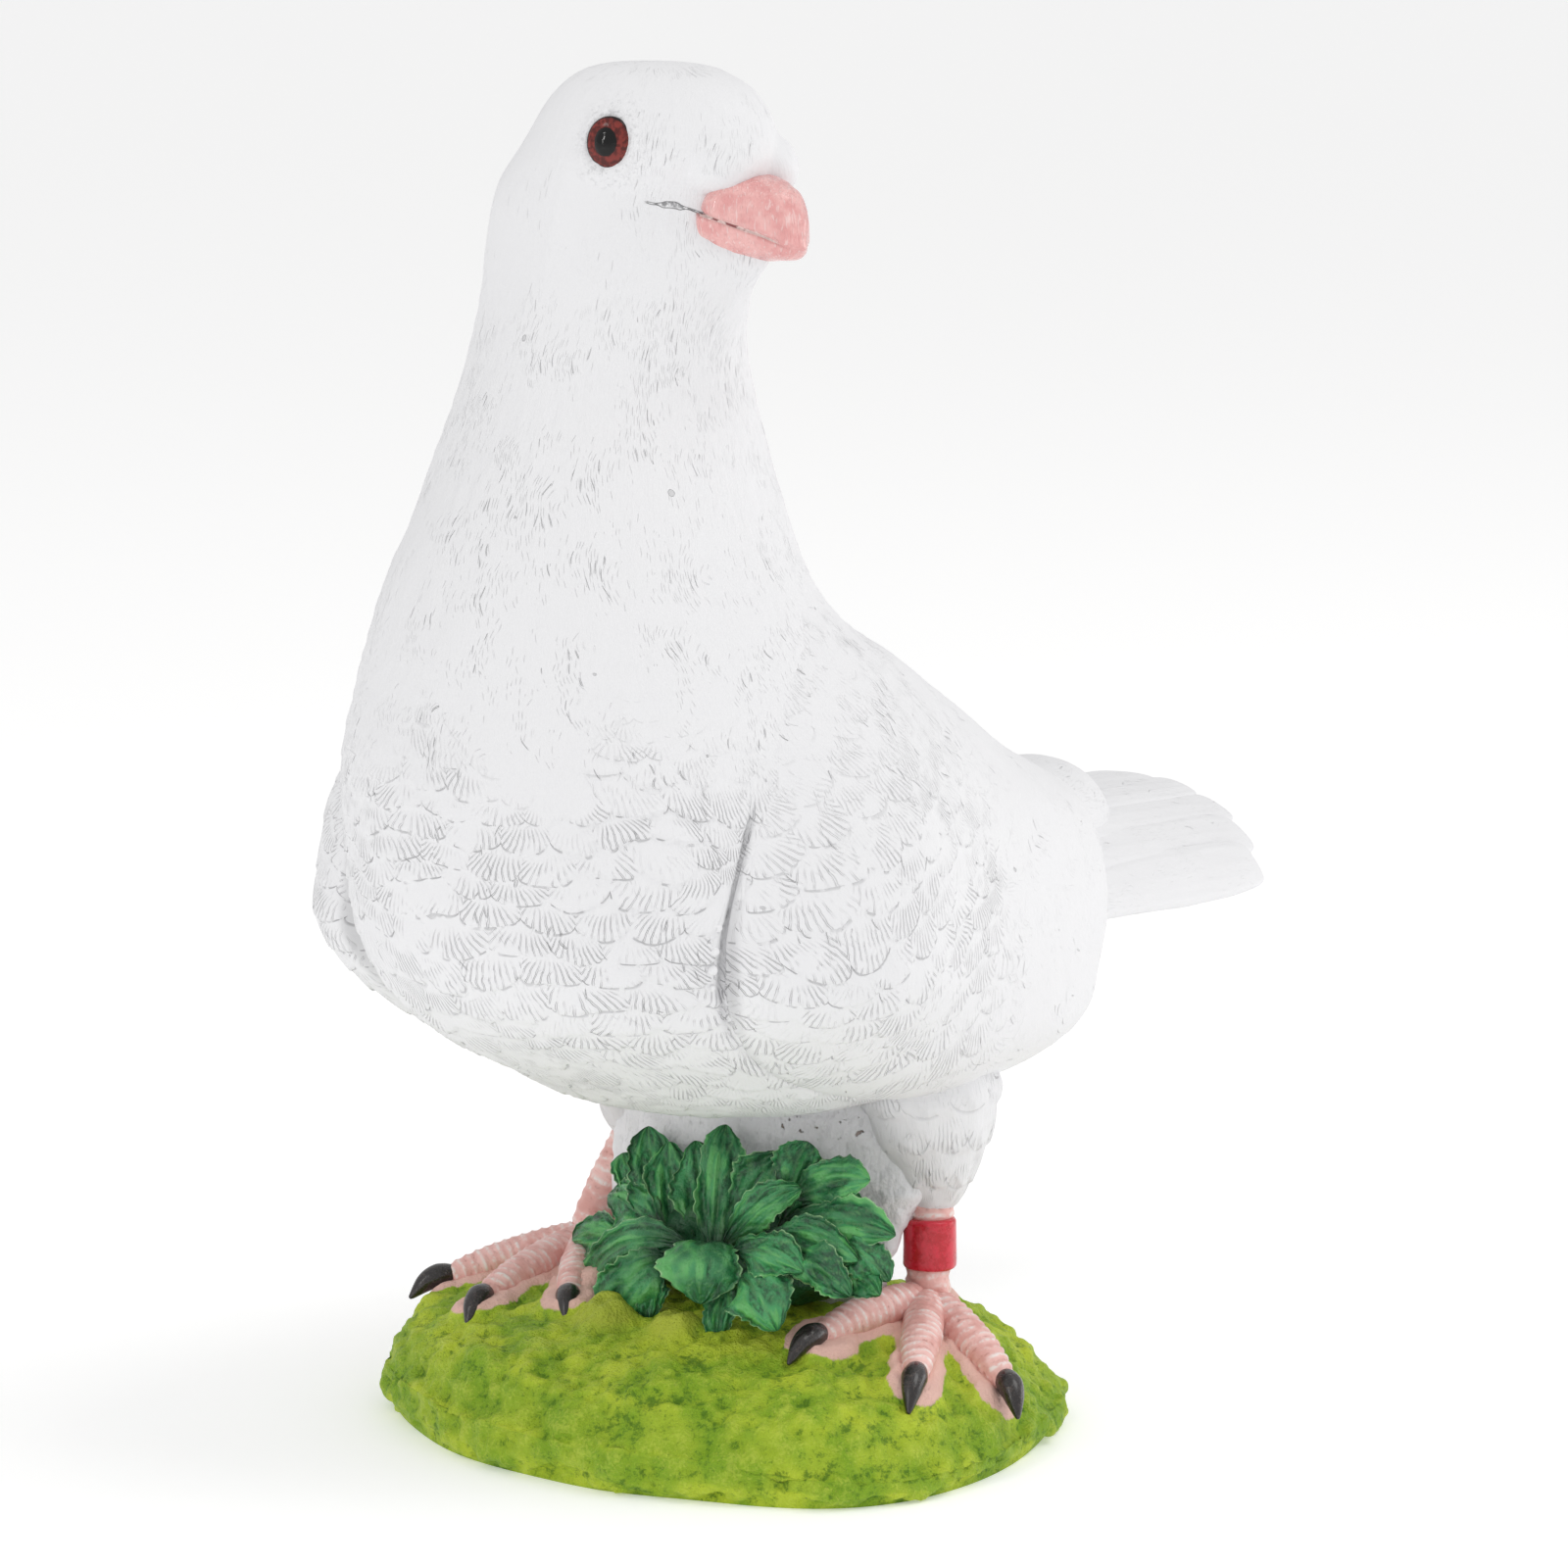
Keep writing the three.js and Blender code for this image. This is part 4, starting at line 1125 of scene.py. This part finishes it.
def thigh(foot, side):
    x, y, z = foot["knee"]
    hip = foot["hip"]
    inside = (hip - np.sign(hip) * THIGH.inwards, THIGH.y, THIGH.top)
    line = [inside, (hip, THIGH.y, THIGH.middle), (x, y, z - LEG.ends)]
    radii = [THIGH.width, THIGH.width, THIGH.narrow]
    mesh, places, share, turn, length = limb(f"thigh_{side}", THIGH.facets, line, radii, 1.0, BACK)
    around, way = turn * THIGH.girth, share * length
    relief = 0.5 * lumps(92, places, 8) + 0.35 * lumps(91, places * np.array([1, 1, 0.6]), 3)
    carve(mesh, places, relief + feather_relief(around / 8, way / 7, THIGH.step))
    limb_plumage(mesh, around, tau * THIGH.girth, way, 0.0, 0.6)
    return mesh


def shank(foot, side):
    x, y, z = foot["knee"]
    ankle = foot["ankle"]
    line = [(x, y, z + 2 * LEG.ends), foot["knee"], ankle, (ankle[0], ankle[1], LEG.foot)]
    radii = [LEG.ends, LEG.radius, LEG.radius, LEG.ends]
    return scaled_limb(f"leg_{side}", LEG, line, radii, BACK, 95)


def toe(foot, side, number):
    """A toe and its claw, which hooks down from the knuckle."""
    ankle = foot["ankle"]
    knuckle, claw = foot["toes"][number - 1]
    line = toe_line(ankle, knuckle, claw)
    radii = [TOE.heel, TOE.radius, TOE.radius * TOE.slim, TOE.knuckle]
    scaled = scaled_limb(f"toe_{side}_{number}", TOE, line, radii, UP, 97, False)
    end, point = np.array(knuckle, float), np.array(claw, float)
    hooked = [mix(end, line[1], CLAW.root), (end + point) / 2 + UP * CLAW.hook, point]
    radii = [CLAW.radius, CLAW.radius, CLAW.radius * CLAW.slim, CLAW.point]
    mesh, places, _, _, _ = limb(f"claw_{side}_{number}", CLAW.facets, hooked, radii)
    shape(mesh, places)
    return scaled, mesh


def legs():
    """The thighs, the legs with their toes, and the claws, each as its mesh."""
    thighs, shanks, claws = [], [], []
    for foot, side in zip(FEET, ("left", "right")):
        thighs.append(thigh(foot, side))
        shanks.append(shank(foot, side))
        for number in range(1, len(foot["toes"]) + 1):
            scaled, claw = toe(foot, side, number)
            shanks.append(scaled)
            claws.append(claw)
    return thighs, shanks, claws


def band():
    """A painted ring on the left leg, flat-sided, with soft rims."""
    form = bmesh.new()
    bmesh.ops.create_cone(form, cap_ends=True, segments=BAND.segments, radius1=BAND.radius,
                          radius2=BAND.radius, depth=BAND.height)
    rims = [edge for edge in form.edges if abs(edge.verts[0].co.z - edge.verts[1].co.z) < TINY]
    bmesh.ops.bevel(form, geom=rims, offset=BAND.soft, offset_type="OFFSET", affect="EDGES", segments=4,
                    profile=0.5, material=-1)
    sides = [edge for edge in form.edges if abs(edge.verts[0].co.z - edge.verts[1].co.z) > 1]
    bmesh.ops.subdivide_edges(form, edges=sides, cuts=BAND.steps, use_grid_fill=True)
    mesh = mesh_of("leg_band", form)
    places = points_of(mesh) + np.array([FEET[0]["knee"][0], BAND.y, BAND.z])
    carve(mesh, places, 0.18 * lumps(99, places, 4))
    return mesh


# The mound, the web and the leaves.
def toe_gap(places):
    """How far each place is from the nearest toe."""
    x, y, z = places.T
    gap = np.full(len(places), 99.0)
    for foot in FEET:
        for knuckle, claw in foot["toes"]:
            dense, _, _ = line_through(toe_line(foot["ankle"], knuckle, claw))
            for spot in dense[40::6]:
                near = np.sqrt((x - spot[0]) ** 2 + (y - spot[1]) ** 2 + 0.5 * (z - spot[2]) ** 2)
                gap = np.minimum(gap, near)
    return gap


def mound():
    """Crumbly turf, raised and pink round the toes, with a few yellow knobs before the leaves."""
    mesh, t, turn = ball("mound", MOUND.facets)
    swell = sum(out * np.sin(count * turn + shift) for out, count, shift in RIM_WAVES)
    swell = swell - sum(into * smooth(start, 1, np.cos(turn - at)) for into, start, at in RIM_FLATS)
    outline = mound_reach(np.sin(turn), np.cos(turn)) * (1 + swell)
    down = smooth(MOUND.rim_start, MOUND.rim_end, t)
    crown = MOUND.crown * np.sin(pi / 2 * np.minimum(1, t / MOUND.crown_end))
    side = mix(crown, MOUND.widest, down) - MOUND.turned_in * smooth(0.4, 1.0, down) ** 1.5
    part = np.where(t < MOUND.rim_end, side, MOUND.foot * (1 - t) / (1 - MOUND.rim_end))
    x, y = outline * part * np.sin(turn), -outline * part * np.cos(turn)
    rounded = 1 - MOUND.softened * smooth(*MOUND.soft, part) ** 2
    places = np.stack([x, y, mound_height(x, y) * rounded * (1 - down)], 1)
    facing = shape(mesh, places)

    pink = smooth(*MOUND.pink, toe_gap(places) + 1.3 * lumps(107, places, 4)) * smooth(*MOUND.pink_rim, part)
    knobs = np.zeros(len(places))
    for knob_x, knob_y, size, height in KNOBS:
        away = ((x - knob_x) / size) ** 2 + ((y - knob_y) / size) ** 2
        knobs = np.maximum(knobs, height * np.exp(-(away**2)))
    keep = smooth(0.0, 1.5, places[:, 2])
    # steep is where the paint lays painted shade on the mound's sides.
    steep = smooth(0.8, 0.4, facing[:, 2]) * smooth(-0.2, 0.1, facing[:, 2])
    broad = 1.3 * lumps(102, places, 13) + 0.9 * lumps(103, places, 6)
    pits = np.clip(lumps(106, places, 3.2) - 0.2, 0, 1)
    relief = 0.8 * lumps(104, places, 2.8) + 0.6 * lumps(105, places, 1.4) - pits
    moved = places + facing * ((broad + relief) * (1 - 0.6 * pink) * keep)[:, None]
    moved[:, 2] += (MOUND.pink_lift * pink + knobs) * keep * smooth(0.2, 0.6, facing[:, 2])
    moved[:, 2] = np.maximum(moved[:, 2], 0)
    put(mesh, moved)
    mark(mesh, relief=relief, pink=pink, steep=steep, yellow=np.clip(knobs / 2, 0, 1))
    return mesh


def web():
    """The resin between the legs, behind the leaves."""
    mesh, t, turn = ball("web", WEB.facets)
    swell = bulge(t, WEB.ends) * (1 + 0.08 * np.sin(4 * turn + 6 * t))
    along = swell * squared(np.cos(turn), WEB.corners)
    y = WEB.y + WEB.half_depth * swell * squared(np.sin(turn), WEB.corners) + WEB.bow * along**2
    z = mix(WEB.top, WEB.bottom, t)
    x = WEB.half_width * along * (1 - 0.1 * smooth(48, 38, z) * (along > 0))
    places = np.stack([x, y, z], 1)
    relief = lumps(111, places, 9) + 0.7 * lumps(112, places, 4) + 0.4 * lumps(113, places, 1.8)
    carve(mesh, places, relief)
    return mesh


def clump():
    """The mass between the leaves, dark with painted shade."""
    mesh, t, turn = ball("leaf_heart", CLUMP.facets)
    places = np.array(CLUMP.middle) + squared(ball_way(t, turn), 0.8) * np.array(CLUMP.reach)
    relief = 1.2 * lumps(171, places, 6) + 0.5 * lumps(172, places, 2.5)
    carve(mesh, places, relief)
    mark(mesh, rim=0.0, vein=0.0, stroke=relief * 0.5, inner=0.8)
    return mesh


def leaf(order):
    """A thick blade with a sunk rib, strokes along it, side veins, and a toothed wavy edge with a lip."""
    start, tip, width, arch = LEAVES[order]
    start, tip = np.array(start, float), np.array(tip, float)
    mesh, t, turn = ball(f"leaf_{order + 1:02d}", LEAF.facets)
    p = travelled(t)
    x = np.cos(turn)
    edge = np.abs(x)
    middle = (start + tip) / 2 + unit(CLUMP.front + UP) * 2 * arch
    share = p[:, None]
    on = (1 - share) ** 2 * start + 2 * share * (1 - share) * middle + share**2 * tip
    ahead = unit(2 * (1 - share) * (middle - start) + 2 * share * (tip - middle))
    over = unit(CLUMP.front - ahead * (ahead @ CLUMP.front)[:, None])
    side = np.cross(ahead, over)

    outline = np.clip(np.sin(pi * p ** LEAF.tip), 0, 1) ** LEAF.round
    jagged = np.abs((p * 9 + 0.37 * order) % 1 - 0.5) + 0.5 * np.abs((p * 21 + 0.2 * order) % 1 - 0.5)
    teeth = LEAF.teeth * (2 * jagged - 0.8 + np.sin(p * 9 + 2.3 * order + np.sign(x)))
    half = width / 2 * outline * (1 + teeth * smooth(0.4, 1, edge))
    vein_phase = p * LEAF.veins - edge * 6 + 0.4 * order
    groove = (1 - np.abs(np.sin(vein_phase))) ** 3 * smooth(0.05, 0.25, edge) * smooth(1, 0.8, edge)
    rib = np.exp(-((edge / LEAF.rib) ** 2))
    stroke = grain(121 + order, x * 4.5 + 9, p * 3.2) + 0.7 * grain(151 + order, x * 10 + 9, p * 6)
    crowned = mix(-0.2, 0.24, smooth(1, 3.2, arch)) * (1 - x**2) * half
    ripple = LEAF.ripple * x**2 * np.sin(p * 11 + 1.7 * order + 1.5 * np.sign(x)) * smooth(0, 0.3, p)
    fold = LEAF.fold * np.sin(p * 7 + x * 3 + 1.3 * order)
    lip = 0.35 * smooth(0.86, 0.97, edge)
    rise = crowned + ripple + fold - 0.5 * rib - 0.5 * groove + lip + 0.32 * stroke
    thick = LEAF.thick / 2 * bulge(t, ROUND) * np.sin(turn)
    shape(mesh, on + side * (half * x)[:, None] + over * (rise * outline + thick)[:, None])

    rim = smooth(0.92, 0.98, edge) * smooth(-0.35, -0.1, np.sin(turn))
    # inner is where the paint lays painted shade: near the root and on the back of the blade.
    inner = smooth(0.42, 0.1, p) + smooth(0, -0.5, np.sin(turn)) * 0.6
    mark(mesh, rim=rim, vein=np.clip(0.6 * rib + 0.8 * groove, 0, 1), stroke=stroke, inner=inner)
    return mesh


# The whole statue, the light and the camera.
def dress():
    """Makes every piece, each with its paint."""
    white = plumage_paint()
    thighs, shanks, claws = legs()
    tail = [tail_feather(order) for order in range(TAIL.feathers)]
    leaves = [leaf(order) for order in range(len(LEAVES))]
    feathered = [dove_body(), wing(1, "wing_left"), wing(-1, "wing_right"), rump(), *tail, *beads()]
    for paint, slot, meshes in (
        (white, "white_paint", feathered),
        (bill_paint(), "pink_paint", [bill()]),
        (eye_paint(), "eye_paint", [eye(-1, "eye_right"), eye(1, "eye_left")]),
        (white, "white_paint", thighs),
        (leg_paint(), "pink_paint", shanks),
        (claw_paint(), "claw_paint", claws),
        (band_paint(), "band_paint", [band()]),
        (grass_paint(), "grass_paint", [mound()]),
        (plain_white_paint(), "white_paint", [web()]),
        (leaf_paint(), "leaf_paint", [clump(), *leaves]),
    ):
        for mesh in meshes:
            piece(mesh, paint)


def aim(thing, place, towards):
    thing.location = Vector(place) * MM
    thing.rotation_euler = (Vector(towards) - Vector(place)).to_track_quat("-Z", "Y").to_euler()
    bpy.context.scene.collection.objects.link(thing)


def stage():
    """The camera, soft lights, a white room and a pale floor."""
    scene = bpy.context.scene
    camera = bpy.data.cameras.new("camera")
    camera.lens = CAMERA.lens
    camera.sensor_width = CAMERA.sensor
    camera.clip_end = CAMERA.far
    seen = bpy.data.objects.new("camera", camera)
    aim(seen, CAMERA.place, CAMERA.towards)
    scene.camera = seen

    for name, (place, (width, height), power) in LIGHTS.items():
        light = bpy.data.lights.new(name, "AREA")
        light.shape = "RECTANGLE"
        light.size = width
        light.size_y = height
        light.energy = power
        light.color = LIGHT_COLOUR
        aim(bpy.data.objects.new(name, light), place, LIT_SPOT)

    world = bpy.data.worlds.new("room")
    world.use_nodes = True
    air = world.node_tree.nodes["Background"].inputs
    air["Color"].default_value = (1, 1, 1, 1)
    air["Strength"].default_value = ROOM_LIGHT
    scene.world = world
    scene.view_settings.view_transform = "Standard"

    form = bmesh.new()
    bmesh.ops.create_grid(form, x_segments=1, y_segments=1, size=FLOOR.half)
    floor = bpy.data.objects.new("floor", mesh_of("floor", form))
    glow = {"emission_color": (1, 1, 1, 1), "emission_strength": FLOOR.glow}
    paper = Paint("floor_paper").finish((FLOOR.white,) * 3, FLOOR.rough, **glow)
    floor.data.materials.append(paper)
    scene.collection.objects.link(floor)


stage()
dress()
